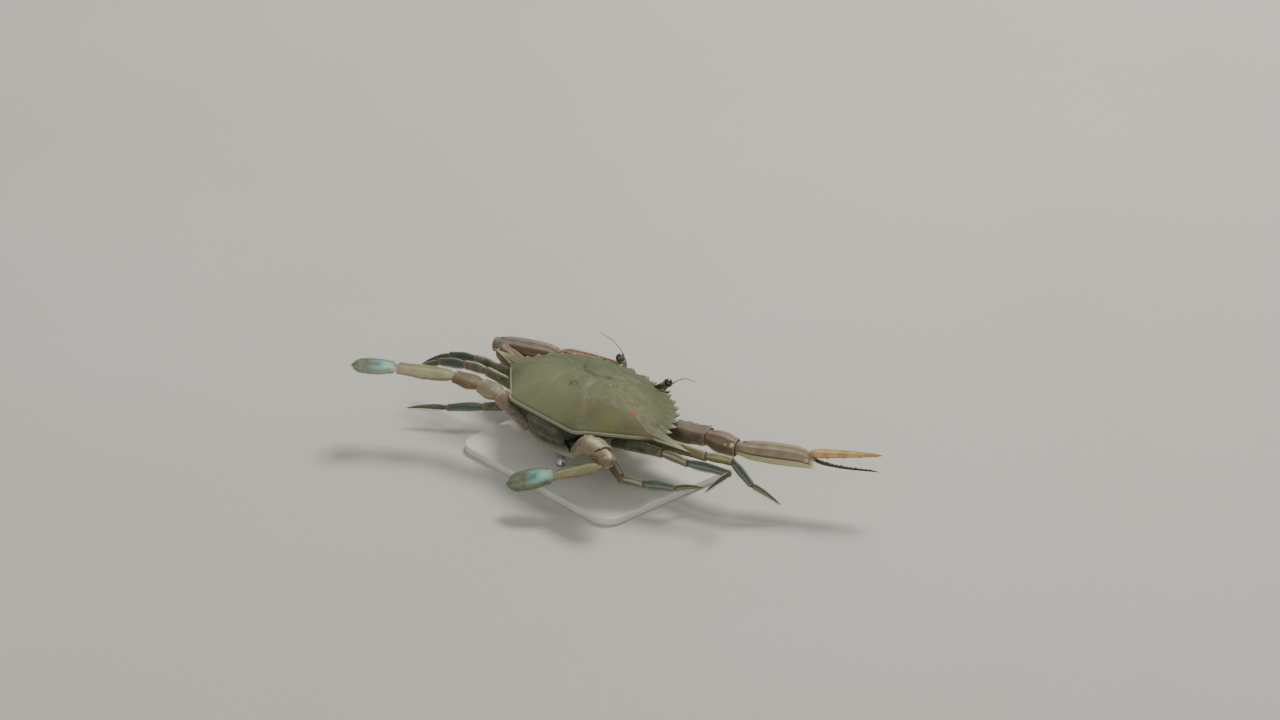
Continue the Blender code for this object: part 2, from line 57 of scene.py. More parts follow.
# How many cuts a solid is measured by, and how far along one that ends in a tip they run.
AXIS_CUTS = 28
TIP_SHARE = 0.985
WIDTH_IN_UNITS = 2.2
DOME_HEIGHT = 0.175
HIND_OVERHANG = 0.006
CARAPACE_LOW, CARAPACE_HIGH = (np.array(corner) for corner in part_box("carapace"))
UNIT = (CARAPACE_HIGH[0] - CARAPACE_LOW[0]) / WIDTH_IN_UNITS
ORIGIN = np.array(
    (
        (CARAPACE_LOW[0] + CARAPACE_HIGH[0]) / 2,
        CARAPACE_LOW[1] + HIND_OVERHANG * UNIT,
        CARAPACE_HIGH[2] - DOME_HEIGHT * UNIT,
    )
)


def place(points):
    """Points in units, as places in metres."""
    return ORIGIN + UNIT * np.asarray(points, float)


def unit_vector(vector):
    vector = np.asarray(vector, float)
    return vector / np.linalg.norm(vector)


def smooth_step(value, start, end):
    share = np.clip((value - start) / (end - start), 0, 1)
    return share * share * (3 - 2 * share)


def bell(value, middle, width):
    return np.exp(-(((value - middle) / width) ** 2))


def along_table(table, spots):
    """Rows between the rows of a table, at spots counted in rows."""
    rows = range(len(table))
    return np.column_stack([np.interp(spots, rows, column) for column in np.array(table).T])


def smoothed(rows, rounds):
    """Rows drawn towards their neighbours again and again, with both ends kept."""
    for _ in range(rounds):
        rows[1:-1] = (rows[:-2] + 2 * rows[1:-1] + rows[2:]) / 4
    return rows


def turns(count):
    """Angles spaced evenly round a circle, as a column."""
    return np.linspace(0, 2 * math.pi, count, endpoint=False)[:, None]


def circle(way, angles, across=UP, high=1.0):
    """A ring of half width 1 round a direction, level where no other way across it is given."""
    wide = unit_vector(np.cross(way, across))
    return wide * np.cos(angles) + np.cross(wide, way) * np.sin(angles) * high


def not_along(way):
    """A direction that isn't parallel to the given one."""
    return UP if abs(way[2]) < 0.9 else (1.0, 0.0, 0.0)


class Solid:
    """A CAD node's points and edges, to measure it by."""

    def __init__(self, node):
        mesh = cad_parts[node].data
        self.corners = np.array([vertex.co for vertex in mesh.vertices])
        self.edges = np.array([edge.vertices[:] for edge in mesh.edges])
        self.points = np.unique(np.round(self.corners, 6), axis=0)
        self.middle = self.points.mean(axis=0)
        polygons = [polygon.vertices[:] for polygon in mesh.polygons]
        self.tree = BVHTree.FromPolygons([Vector(corner) for corner in self.corners], polygons)

    def cut(self, point, axis):
        """Where the edges cross a plane."""
        heights = (self.corners - point) @ axis
        near, far = heights[self.edges[:, 0]], heights[self.edges[:, 1]]
        crossing = (near > 0) != (far > 0)
        edges = self.edges[crossing]
        share = (near[crossing] / (near[crossing] - far[crossing]))[:, None]
        return self.corners[edges[:, 0]] * (1 - share) + self.corners[edges[:, 1]] * share

    def nearest_to(self, other, count):
        """The points that lie closest to another solid, as the ones round a cut face do."""
        gaps = [other.tree.find_nearest(Vector(point))[3] for point in self.points]
        return self.points[np.argsort(gaps)[:count]]

    def farthest_from(self, point):
        return self.points[np.argmax(np.linalg.norm(self.points - point, axis=1))]

    def middle_of(self, scores, count):
        """The middle of the points that have the lowest scores."""
        return self.points[np.argsort(scores)[:count]].mean(axis=0)


def limb_joints(solids, body, sides):
    """A limb's joints from its solids: its root on the body, the middles of its cuts, and its tip."""
    joints = [solids[0].nearest_to(body, sides).mean(axis=0)]
    for near, far in zip(solids, solids[1:]):
        ring = [near.nearest_to(far, sides), far.nearest_to(near, sides)]
        joints.append(np.concatenate(ring).mean(axis=0))
    joints.append(solids[-1].farthest_from(joints[-1]))
    return joints


class Axis:
    """A straight line through a solid, with the way its broad side lies and its half sizes."""

    def __init__(self, solid, start, end, broad=None, clear=0.12, tip=False):
        self.start, self.end = np.asarray(start), np.asarray(end)
        self.length = np.linalg.norm(self.end - self.start)
        self.way = unit_vector(self.end - self.start)
        if broad is None:
            broad = self.widest_way(solid)
        self.broad = unit_vector(broad - self.way * (broad @ self.way))
        self.thin = np.cross(self.way, self.broad)
        self.shares = np.linspace(clear, TIP_SHARE if tip else 1 - clear, AXIS_CUTS)
        rows = []
        for share in self.shares:
            offsets = solid.cut(self.start + self.way * self.length * share, self.way) - self.start
            row = []
            for direction in (self.broad, self.thin):
                along = offsets @ direction
                row += [(along.max() + along.min()) / 2, (along.max() - along.min()) / 2]
            rows.append(row)
        self.sizes = np.array(rows)
        for _ in range(3):
            padded = np.pad(self.sizes, ((1, 1), (0, 0)), mode="edge")
            self.sizes = (padded[:-2] + 2 * padded[1:-1] + padded[2:]) / 4

    def widest_way(self, solid):
        """The direction in which the middle cut is widest, turned to face upwards."""
        points = solid.cut((self.start + self.end) / 2, self.way)
        _, _, ways = np.linalg.svd(points - points.mean(axis=0), full_matrices=False)
        return ways[0] * (1 if ways[0][2] >= 0 else -1)

    def at(self, share):
        """(middle, half breadth, half thickness) at a share of the length."""
        offset_b, half_b, offset_t, half_t = (
            np.interp(share, self.shares, column) for column in self.sizes.T
        )
        point = self.start + self.way * self.length * share
        return point + self.broad * offset_b + self.thin * offset_t, half_b, half_t


# ---------------------------------------------------------------- meshes


def make_piece(name, mesh, material, slot, *nodes):
    """Puts a mesh in the scene as a piece that stands for the given nodes."""
    mesh.shade_smooth()
    mesh.materials.append(material)
    piece = bpy.data.objects.new(name, mesh)
    bpy.context.scene.collection.objects.link(piece)
    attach(piece, "root")
    if nodes:
        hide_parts(*nodes)


class Shape:
    """Closed surfaces that together make one piece, with named values at their points."""

    NAMES = ("along", "ridge", "joint", "pale", "low")

    def __init__(self):
        self.points = []
        self.faces = []
        self.values = {name: [] for name in self.NAMES}
        self.count = 0

    def add(self, points, faces, values):
        self.points.append(points)
        self.faces += [tuple(corner + self.count for corner in face) for face in faces]
        for name in self.NAMES:
            given = values.get(name, np.zeros(len(points)))
            self.values[name].append(np.broadcast_to(given, len(points)))
        self.count += len(points)

    def tube(self, rows, **values):
        """A closed skin through rings of points, with its ends drawn together."""
        rows = np.asarray(rows, float)
        count, around = rows.shape[:2]
        points = np.concatenate([rows.reshape(-1, 3), [rows[0].mean(axis=0), rows[-1].mean(axis=0)]])
        grid = np.arange(count * around).reshape(count, around)
        turned = np.roll(grid, -1, axis=1)
        quads = np.stack([grid[:-1], turned[:-1], turned[1:], grid[1:]], axis=-1).reshape(-1, 4)
        first = np.full(around, count * around)
        starts = np.stack([first, turned[0], grid[0]], axis=-1)
        ends = np.stack([first + 1, grid[-1], turned[-1]], axis=-1)
        corners = [points[quads[:, i]] for i in range(4)]
        normals = np.cross(corners[2] - corners[0], corners[3] - corners[1])
        outward = corners[0] - rows.mean(axis=(0, 1))
        faces = quads.tolist() + starts.tolist() + ends.tolist()
        if (normals * outward).sum() < 0:
            faces = [face[::-1] for face in faces]
        given = {}
        for name, value in values.items():
            value = np.asarray(value, float)
            value = np.broadcast_to(value[:, None] if value.ndim == 1 else value, (count, around))
            given[name] = np.concatenate([value.reshape(-1), [value[0].mean(), value[-1].mean()]])
        self.add(points, faces, given)

    def spike(self, root, way, length, radius, bend=(0.0, 0.0, 0.0), pale=0.0, **values):
        """A curved thorn, paler towards its tip."""
        way = unit_vector(way)
        ring = circle(way, -turns(12), not_along(way)) * radius
        shares = (0.0, 0.15, 0.35, 0.55, 0.75, 0.9, 0.98)
        rows = []
        for share in shares:
            centre = root + way * length * share + np.asarray(bend) * length * share**2
            rows.append(centre + ring * ((1 - share) ** 0.8 + 0.06))
        self.tube(rows, pale=pale * np.array(shares), **values)

    def knob(self, centre, way, radius, height, **values):
        """A low dome, such as the pivot of a hinge."""
        way = unit_vector(way)
        ring = circle(way, -turns(16), not_along(way)) * radius
        rises = np.linspace(-0.5, math.pi / 2 - 0.1, 8)
        rows = [centre + way * height * math.sin(rise) + ring * math.cos(rise) for rise in rises]
        self.tube(rows, **values)

    def rod(self, route, radii, **values):
        """A bent rod through points given in metres, with a radius at each."""
        spots = np.linspace(0, len(route) - 1, 10 * (len(route) - 1) + 1)
        path = smoothed(along_table(route, spots), 12)
        sizes = np.interp(spots, range(len(radii)), radii)
        angles = turns(14)
        rows = []
        for point, way, size in zip(path, np.gradient(path, axis=0), sizes):
            rows.append(point + circle(unit_vector(way), angles) * size)
        self.tube(rows, **values)

    def build(self, name, material, slot, *nodes):
        mesh = bpy.data.meshes.new(name)
        mesh.from_pydata(np.concatenate(self.points).tolist(), [], self.faces)
        for value_name, parts in self.values.items():
            attribute = mesh.attributes.new(value_name, "FLOAT", "POINT")
            attribute.data.foreach_set("value", np.concatenate(parts).astype(np.float32))
        make_piece(name, mesh, material, slot, *nodes)


def build_tube(name, rows, material, slot, *nodes, **values):
    """A piece that is a single closed skin."""
    shape = Shape()
    shape.tube(rows, **values)
    shape.build(name, material, slot, *nodes)


# ---------------------------------------------------------------- limb segments

# A segment's look is a table of these, each with a usual value of its own:
#   ridges: (degrees round from the broad side, width in degrees, height in mm, beads along it)
#   teeth: (degrees round, function that gives their height at a share of the length)
#   rings: (share of the length, depth) of grooves round it
#   ball, neck: size of the ball at its root, and the share of the length by which it is full size
#   lip, lip_pale: how far its socket's lip stands out, and how pale it is
#   joint_reach: how far the joint's colour runs from its root, in mm
#   power: how square its section is; around, step: points round its mesh, and mm between rings
#   bow: its rise in the middle, as a share of its length; spread: function that widens it
#   tip: true where it ends in a tip instead of a socket
BALL_REACH = 1.5 * MM
BALL_ANGLES = np.linspace(0.15, math.pi / 2, 9)[:-1]
LIP_WIDTH = 0.30 * MM
END_ROUND = 1.5 * MM
SOCKET_DEPTH = 0.8 * MM
KNUCKLE_REACH = 0.62
KNUCKLE_BEND = math.radians(40)
MITRE_FROM = 0.70
BLUNT_SHARE = 1 / 12
GROOVE_WIDTH = 0.5 * MM
END_TAPER = 0.07
TOOTH_DEGREES = 24


def oval(around, power):
    """Angles round a section, with the x and y of a circle that is squarer for a higher power."""
    angles = np.linspace(0, 2 * math.pi, around, endpoint=False)
    cosine, sine = np.cos(angles), np.sin(angles)
    size = (np.abs(cosine) ** power + np.abs(sine) ** power) ** (-1 / power)
    return angles, cosine * size, sine * size


def around_bell(angles, degrees, width):
    """How near each angle is to a place round the ring, 1 on it."""
    away = np.angle(np.exp(1j * (angles - math.radians(degrees))))
    return bell(away, 0, math.radians(width))


def segment_profile(length, size, look):
    """(share of the length, part of the full section, joint, pale) for each ring of a segment.

    A segment starts with a ball that sits in the socket of the one before. It ends in a socket
    with a thin raised lip, in a knuckle where the limb bends sharply, or in a tip.
    """
    ball, lip_pale = look.get("ball", 0.84), look.get("lip_pale", 0.25)
    reach = min(BALL_REACH, 0.6 * size) / length
    profile = [(-reach * math.cos(angle), ball * math.sin(angle), 1.0, 0.0) for angle in BALL_ANGLES]
    has_socket = not look.get("tip") and not look.get("knuckle")
    for share in np.linspace(0, 1, max(12, int(length / (look.get("step", 0.5) * MM)))):
        away = share * length
        part = ball + (1 - ball) * smooth_step(share, 0, look.get("neck", 0.16)) ** 0.8
        for spot, depth in look.get("rings", ()):
            part -= depth * bell(away, spot * length, GROOVE_WIDTH)
        pale = 0.0
        if has_socket:
            part -= END_TAPER * smooth_step(away, length - END_ROUND, length)
            part += look.get("lip", 0.03) * bell(away, length - 2 * LIP_WIDTH, 2 * LIP_WIDTH)
            pale = lip_pale * bell(away, length, LIP_WIDTH)
        profile.append((share, part, bell(away, 0, look.get("joint_reach", 0.9) * MM), pale))
    if look.get("knuckle"):
        bulge = KNUCKLE_REACH * size / length
        for angle in BALL_ANGLES[::-1]:
            joint = 0.25 * smooth_step(angle, 1.0, 0.2)
            profile.append((1 + bulge * math.cos(angle), math.sin(angle), joint, 0.0))
    if has_socket:
        lip, depth = 0.5 * LIP_WIDTH / length, min(SOCKET_DEPTH, 0.3 * size) / length
        profile += [(1 + lip, 0.905, 0.1, lip_pale), (1 + lip, 0.87, 0.4, 0.2 * lip_pale)]
        for inward, part in ((0.4 * depth, 0.83), (depth, 0.74), (depth, 0.3)):
            profile.append((1 - inward, part, 1.0, 0.0))
    return profile


def segment_relief(angles, share, look):
    """How far ridges and teeth lift a ring of a segment, and how strongly each place is on a ridge."""
    lift, ridge = np.zeros(len(angles)), np.zeros(len(angles))
    fade = smooth_step(share, 0.02, 0.12) * smooth_step(1.0 - share, 0, 0.06)
    for degrees, width, height, beads in look.get("ridges", ()):
        here = around_bell(angles, degrees, width) * fade
        beading = 0.5 + 0.5 * abs(math.sin(beads * math.pi * share)) if beads else 1.0
        lift += here * height * MM * beading
        if height > 0:
            ridge = np.maximum(ridge, here)
    for degrees, teeth in look.get("teeth", ()):
        lift += around_bell(angles, degrees, TOOTH_DEGREES) * teeth(share)
    return lift, ridge


def add_segment(shape, axis, look):
    """A limb segment round its axis, with the values that colour it."""
    angles, cosine, sine = oval(look.get("around", 36), look.get("power", 2.2))
    _, half_b, half_t = axis.at(0.5)
    rows, values = [], []
    profile = segment_profile(axis.length, min(half_b, half_t) + half_b * 0.3, look)
    for share, part, joint, pale in profile:
        inside = min(max(share, 0), 1)
        middle, broad_size, thin_size = axis.at(inside)
        middle = middle + axis.way * (share - inside) * axis.length
        if "spread" in look:
            broad_size *= look["spread"](inside)
        if look.get("tip") and share > 1 - BLUNT_SHARE:
            part *= max(math.sqrt((1 - share) / BLUNT_SHARE), 0.02)
        ring = np.outer(cosine, axis.broad * broad_size) + np.outer(sine, axis.thin * thin_size)
        outward = ring / np.linalg.norm(ring, axis=1, keepdims=True)
        lift, ridge = segment_relief(angles, share, look)
        ring = ring * part + outward * (lift * min(part, 1.0))[:, None]
        if "mitre" in look:
            slope = (ring @ look["mitre"]) / (axis.way @ look["mitre"])
            ring = ring - axis.way * (slope * smooth_step(share, MITRE_FROM, 1.0))[:, None]
        bow = look.get("bow", 0.0) * axis.length * math.sin(math.pi * inside)
        rows.append(middle + ring + UP * bow)
        values.append(np.broadcast_arrays(share, ridge, joint, pale, -cosine))
    shape.tube(rows, **dict(zip(Shape.NAMES, np.swapaxes(values, 0, 1))))


def bent_look(look, joints, i):
    """The look of a segment whose end is cut aslant, to meet the next one where the limb bends.

    Where it bends sharply the end is a rounded knuckle instead.
    """
    if i + 2 >= len(joints):
        return look
    way, after = unit_vector(joints[i + 1] - joints[i]), unit_vector(joints[i + 2] - joints[i + 1])
    if math.acos(way @ after) > KNUCKLE_BEND:
        return look | {"knuckle": True}
    return look | {"mitre": unit_vector(way + after)}


def add_pivots(shape, axis, share=0.97, size=0.17, pale=0.30):
    """The two pale knobs that a segment's hinge turns on."""
    middle, half_b, half_t = axis.at(share)
    radius = size * min(half_b, half_t) + 0.12 * MM
    for sign in (-1, 1):
        root = middle + axis.thin * sign * (half_t * 1.02 - 0.3 * radius)
        shape.knob(root, axis.thin * sign, radius, 0.7 * radius, pale=pale, along=share)


# ---------------------------------------------------------------- materials


class Nodes:
    """Short ways to write a material's node tree, with the colour that it has so far."""

    def __init__(self, name):
        self.material = bpy.data.materials.new(name)
        self.material.use_nodes = True
        self.tree = self.material.node_tree
        self.shader = self.tree.nodes["Principled BSDF"]
        self.position = self.new("ShaderNodeTexCoord").outputs["Object"]
        self.colour = None

    def new(self, kind, inputs=None, **settings):
        """A node, with constants or other nodes' outputs on its inputs."""
        node = self.tree.nodes.new(kind)
        for name, value in settings.items():
            setattr(node, name, value)
        for name, value in (inputs or {}).items():
            self.join(value, node.inputs[name])
        return node

    def join(self, value, socket):
        if isinstance(value, bpy.types.NodeSocket):
            self.tree.links.new(value, socket)
        elif isinstance(value, tuple) and len(value) == 3 and socket.type == "RGBA":
            socket.default_value = (*value, 1.0)
        else:
            socket.default_value = value

    def value(self, name):
        return self.new("ShaderNodeAttribute", attribute_name=name).outputs["Fac"]

    def noise(self, size, detail=3.0, roughness=0.55, stretch=None):
        """Cloudy noise, of blotches about this size in metres, from 0 to 1."""
        spot = self.position
        if stretch:
            spot = self.new("ShaderNodeMapping", {"Vector": spot, "Scale": stretch}).outputs["Vector"]
        inputs = {"Vector": spot, "Scale": 1 / size, "Detail": detail, "Roughness": roughness}
        return self.new("ShaderNodeTexNoise", inputs).outputs["Fac"]

    def grains(self, size, smoothness=0.6):
        """Rounded grains of about this size: 1 on a grain's top, 0 between grains."""
        inputs = {"Vector": self.position, "Scale": 1 / size, "Smoothness": smoothness}
        node = self.new("ShaderNodeTexVoronoi", inputs, feature="SMOOTH_F1")
        return self.range(node.outputs["Distance"], 0.65, 0.0)

    def range(self, value, start, end, low=0.0, high=1.0):
        """Value taken smoothly from the range start to end, to the range low to high."""
        inputs = {"Value": value, "From Min": start, "From Max": end, "To Min": low, "To Max": high}
        node = self.new("ShaderNodeMapRange", inputs, interpolation_type="SMOOTHSTEP")
        return node.outputs["Result"]

    def clouds(self, size, detail, start, end, most=1.0):
        """Blotches: 0 where the noise is below start, the most that is given where it's past end."""
        return self.range(self.noise(size, detail), start, end, 0.0, most)

    def math(self, operation, first, second=0.0):
        return self.new("ShaderNodeMath", {0: first, 1: second}, operation=operation).outputs[0]

    def times(self, *values):
        product = values[0]
        for value in values[1:]:
            product = self.math("MULTIPLY", product, value)
        return product

    def mix(self, share, first, second):
        inputs = {"Factor": share, "A": first, "B": second}
        return self.new("ShaderNodeMix", inputs, data_type="RGBA").outputs["Result"]

    def wash(self, share, tint, most=None):
        """Draws the colour towards a tint by a share, at most as far as is given."""
        self.colour = self.mix(share if most is None else self.times(share, most), self.colour, tint)

    def upwards(self):
        """How far the surface faces up, from -1 to 1."""
        normal = self.new("ShaderNodeNewGeometry").outputs["Normal"]
        return self.new("ShaderNodeSeparateXYZ", {0: normal}).outputs["Z"]

    def near(self, point, radius):
        """1 at a place given in units, fading to 0 at a radius given in metres."""
        inputs = {0: self.position, 1: tuple(place(point))}
        node = self.new("ShaderNodeVectorMath", inputs, operation="DISTANCE")
        return self.range(node.outputs["Value"], radius, radius * 0.25)

    def finish(self, height, height_size, roughness, specular=0.4, coat=0.0, metallic=0.0):
        """The material, with bumps of a height in metres and roughness that varies a little."""
        inputs = {"Strength": 1.0, "Distance": height_size, "Height": height}
        worn = self.range(self.noise(3.5 * MM), 0.3, 0.7, roughness - 0.08, roughness + 0.08)
        sockets = {
            "Base Color": self.colour,
            "Normal": self.new("ShaderNodeBump", inputs).outputs["Normal"],
            "Roughness": worn,
            "Specular IOR Level": specular,
            "Coat Weight": coat,
            "Coat Roughness": 0.25,
            "Metallic": metallic,
        }
        for name, value in sockets.items():
            self.join(value, self.shader.inputs[name])
        return self.material


def srgb(red, green, blue):
    """A colour as seen on a screen, 0 to 255, as the linear values that nodes use."""
    shares = (channel / 255 for channel in (red, green, blue))
    return tuple(s / 12.92 if s <= 0.04045 else ((s + 0.055) / 1.055) ** 2.4 for s in shares)


PAINT_DEPTH = 0.60


def paint(red, green, blue):
    """A colour as seen on the shell under the studio lights, as the pigment that gives it."""
    return tuple(channel * PAINT_DEPTH for channel in srgb(red, green, blue))


OLIVE = paint(104, 111, 78)
OLIVE_LIGHT = paint(121, 127, 92)
OLIVE_DARK = paint(76, 86, 60)
CREAM = paint(220, 216, 178)
WHITE = paint(240, 236, 206)
PINK = paint(158, 124, 106)
SOCKET = paint(112, 84, 70)


def shell_material(name, top, dark, under, ridge, tip, joint=SOCKET, tip_from=0.7, extra=None):
    """Mottled top, pale underside, and its own colours on ridges, tip and joints."""
    nodes = Nodes(name)
    nodes.colour = nodes.mix(nodes.clouds(5 * MM, 5.0, 0.38, 0.66), top, dark)
    nodes.wash(nodes.clouds(1.1 * MM, 2.0, 0.60, 0.72, 0.25), ridge)
    nodes.wash(nodes.range(nodes.value("along"), tip_from, 1.0), tip)
    nodes.wash(nodes.range(nodes.upwards(), -0.05, -0.60), under)
    nodes.wash(nodes.times(nodes.value("ridge"), nodes.range(nodes.upwards(), -0.3, 0.4)), ridge, 0.8)
    if extra:
        extra(nodes)
    nodes.wash(nodes.value("joint"), joint, 0.8)
    nodes.wash(nodes.value("pale"), WHITE)
    height = nodes.math("ADD", nodes.times(nodes.grains(0.55 * MM), 0.5), nodes.noise(2.2 * MM, 4.0))
    return nodes.finish(height, 0.14 * MM, 0.52)


# ---------------------------------------------------------------- carapace

SPINE_TIP = np.array((1.10, 0.515))
SPINE_ROOT = np.array((0.794, 0.46))
SPINE_ROOT_HALF = np.array((0.0, 0.06))
ARC_CENTRE = np.array((0.16, 0.42))
ARC_RADII = np.array((0.64, 0.525))
ARC_FROM, ARC_TO = math.radians(11), math.radians(73)
TEETH = 7
TOOTH_REACH = 0.050
RIM_DROP = 0.05
RIM_THICKNESS = 0.03
SHIELD_CENTRE = np.array((0.0, 0.5))
SHIELD_POWER = 2.4
HIND_EDGE = (
    (0.115, -0.005), (0.23, -0.002), (0.345, 0.004), (0.395, 0.032), (0.425, 0.075), (0.50, 0.14),
    (0.575, 0.205), (0.65, 0.27), (0.725, 0.335),
)
# Along each side spine, from its root: (share of its length, half width behind it, in front of it).
SPINE_WIDTHS = ((0.25, 0.040, 0.038), (0.55, 0.024, 0.022), (0.80, 0.012, 0.010))
# One of the teeth: (share of its stretch of the edge, how far it stands out, 1 where it's sharp).
TOOTH = ((0.0, 0.0, 1.0), (0.32, 0.66, 0.0), (0.62, 1.0, 1.0), (0.80, 0.36, 0.0))
# The notched brow between the eyes, and the eye's notch: (edge, the same point without teeth, sharp).
BROW = (
    ((0.365, 0.985), (0.342, 0.926), 1.0),
    ((0.335, 0.93), (0.335, 0.93), 0.0),
    ((0.285, 0.912), (0.285, 0.912), 0.0),
    ((0.225, 0.93), (0.225, 0.93), 0.0),
    ((0.195, 1.0), (0.19, 0.94), 1.0),
    ((0.145, 0.962), (0.14, 0.95), 0.0),
    ((0.085, 1.02), (0.085, 0.96), 1.0),
    ((0.030, 0.982), (0.03, 0.965), 0.0),
    ((0.0, 0.975), (0.0, 0.965), 1.0),
)
NECK_GROOVE = ((0.0, 0.495), (0.08, 0.50), (0.135, 0.56), (0.22, 0.665), (0.35, 0.76), (0.46, 0.85))
HEART_GROOVE = ((0.135, 0.56), (0.115, 0.46), (0.150, 0.36), (0.135, 0.24), (0.11, 0.14))
SIDE_RIDGE = ((0.82, 0.475), (0.67, 0.545), (0.50, 0.583), (0.36, 0.575), (0.25, 0.53))
FRONT_RIDGE = ((0.05, 0.715), (0.13, 0.70), (0.21, 0.72), (0.28, 0.76))
# Swellings and hollows of the shield: (x, y, reach along x, reach along y, height).
LUMPS = (
    (0.150, 0.770, 0.120, 0.100, 0.013),
    (0.000, 0.620, 0.090, 0.100, 0.007),
    (0.060, 0.380, 0.060, 0.075, 0.009),
    (0.000, 0.180, 0.090, 0.090, 0.005),
    (0.480, 0.660, 0.150, 0.070, 0.009),
    (0.380, 0.310, 0.170, 0.130, 0.013),
    (0.420, 0.830, 0.080, 0.060, -0.008),
    (0.600, 0.470, 0.140, 0.060, -0.006),
)
# Rings of the flanks: (share of the rim's width, rear y, front y, height, how toothed).
FLANKS = (
    (0.94, 0.016, 0.965, -0.046, 0.5),
    (0.90, 0.030, 0.950, -0.062, 0.2),
    (0.82, 0.038, 0.940, -0.082, 0.0),
    (0.73, 0.045, 0.925, -0.108, 0.0),
    (0.64, 0.050, 0.910, -0.135, 0.0),
    (0.54, 0.058, 0.885, -0.163, 0.0),
    (0.45, 0.064, 0.862, -0.188, 0.0),
    (0.43, 0.070, 0.850, -0.192, 0.0),
    (0.25, 0.250, 0.650, -0.192, 0.0),
)
# Places on the shield's top, in units, and the tints round some: (place, radius in mm, most, tint). Three
# tints are painted light: a lighter hind slope, a lighter left side, and a less blue patch on the right
# front against the fill light's bluish reflection.
SCAR = (0.015, 0.32, 0.155)
RING_MARK = (0.56, 0.44, 0.087)
FLECKS = (0.19, 0.42, 0.16)
SPINES = ((1.0, 0.50, -0.05), (-1.0, 0.50, -0.05))
SHIELD_TINTS_AND_PAINTED_LIGHT = (
    ((-0.10, 0.66, 0.14), 26, 0.35, paint(92, 108, 72)),
    # Painted light: the hind slope lightened where the key light doesn't reach it.
    ((-0.17, 0.08, 0.08), 38, 0.6, paint(150, 152, 112)),
    # Painted light: a yellower patch that offsets the fill light's bluish reflection on the right front.
    ((0.42, 0.56, 0.12), 32, 0.4, paint(118, 116, 66)),
    ((0.48, 0.25, 0.047), 10, 0.5, paint(142, 136, 78)),
    ((0.72, 0.38, 0.03), 10, 0.5, paint(126, 108, 76)),
    # Painted light: the left side lightened where the light falls off.
    ((-0.40, 0.28, 0.08), 10, 0.5, paint(138, 138, 100)),
    ((0.30, 0.22, 0.12), 10, 0.5, paint(128, 106, 72)),
)


def half_rim():
    """The right half of the rim: edge point, the same point without teeth, and 1 where it's sharp."""
    rear, front = SPINE_ROOT - SPINE_ROOT_HALF, SPINE_ROOT + SPINE_ROOT_HALF
    points = [((0.0, -0.006), (0.0, -0.006), 1.0)]
    points += [(edge, edge, 0.0) for edge in (*HIND_EDGE, rear)]
    spine = [(SPINE_ROOT + share * (SPINE_TIP - SPINE_ROOT), *half) for share, *half in SPINE_WIDTHS]
    points += [(point - (0, behind), rear, 0.0) for point, behind, _ in spine]
    points.append((SPINE_TIP, SPINE_ROOT, 1.0))
    points += [(point + (0, before), front, 0.0) for point, _, before in spine[::-1]]
    for tooth in range(TEETH):
        for share, reach, sharp in TOOTH:
            angle = ARC_FROM + (tooth + share) / TEETH * (ARC_TO - ARC_FROM)
            ray = np.array((math.cos(angle), math.sin(angle)))
            base = ARC_CENTRE + ARC_RADII * ray
            out = unit_vector(ray * (0.9, 1.0) + 0.15)
            points.append((base + out * reach * TOOTH_REACH, base, sharp))
    end = ARC_CENTRE + ARC_RADII * (math.cos(ARC_TO), math.sin(ARC_TO))
    points += [(end, end, 1.0), *BROW]
    return np.array([(*edge, *base, sharp) for edge, base, sharp in points])


def rounded(points, rounds):
    """Corners cut off again and again, apart from the sharp ones."""
    for _ in range(rounds):
        made = [points[0]]
        for near, far in zip(points, points[1:]):
            for share in (0.25, 0.75):
                point = near * (1 - share) + far * share
                point[4] = 0.0
                made.append(point)
            if far[4]:
                made.append(far)
        points = np.array(made)
    return points


def distance_to_line(x, y, line):
    """Distance from points to a line of straight stretches, and the share of the way along it."""
    best, along = np.full(np.shape(x), 9.0), np.zeros(np.shape(x))
    for i, (near, far) in enumerate(zip(line, line[1:])):
        step = np.subtract(far, near)
        share = ((x - near[0]) * step[0] + (y - near[1]) * step[1]) / (step @ step)
        share = np.clip(share, 0, 1)
        away = np.hypot(x - near[0] - share * step[0], y - near[1] - share * step[1])
        closer = away < best
        best = np.where(closer, away, best)
        along = np.where(closer, (i + share) / (len(line) - 1), along)
    return best, along


def shield_relief(x, y):
    """Relief of the shield's top, in units, and how strongly each place is on a ridge."""
    x = np.abs(x)
    relief, ridge = np.zeros(np.shape(x)), np.zeros(np.shape(x))
    for middle_x, middle_y, reach_x, reach_y, height in LUMPS:
        relief += height * bell(x, middle_x, reach_x) * bell(y, middle_y, reach_y)
    for line, depth, width in ((NECK_GROOVE, 0.010, 0.018), (HEART_GROOVE, 0.010, 0.015)):
        away, along = distance_to_line(x, y, line)
        relief -= depth * bell(away, 0, width) * (1 - 0.6 * along)
    for line, height, width, beads in ((SIDE_RIDGE, 0.0075, 0.010, 34), (FRONT_RIDGE, 0.004, 0.008, 12)):
        away, along = distance_to_line(x, y, line)
        here = bell(away, 0, width)
        relief += height * here * (0.75 + 0.25 * np.sin(2 * math.pi * beads * along))
        ridge = np.maximum(ridge, here)
    return relief, ridge


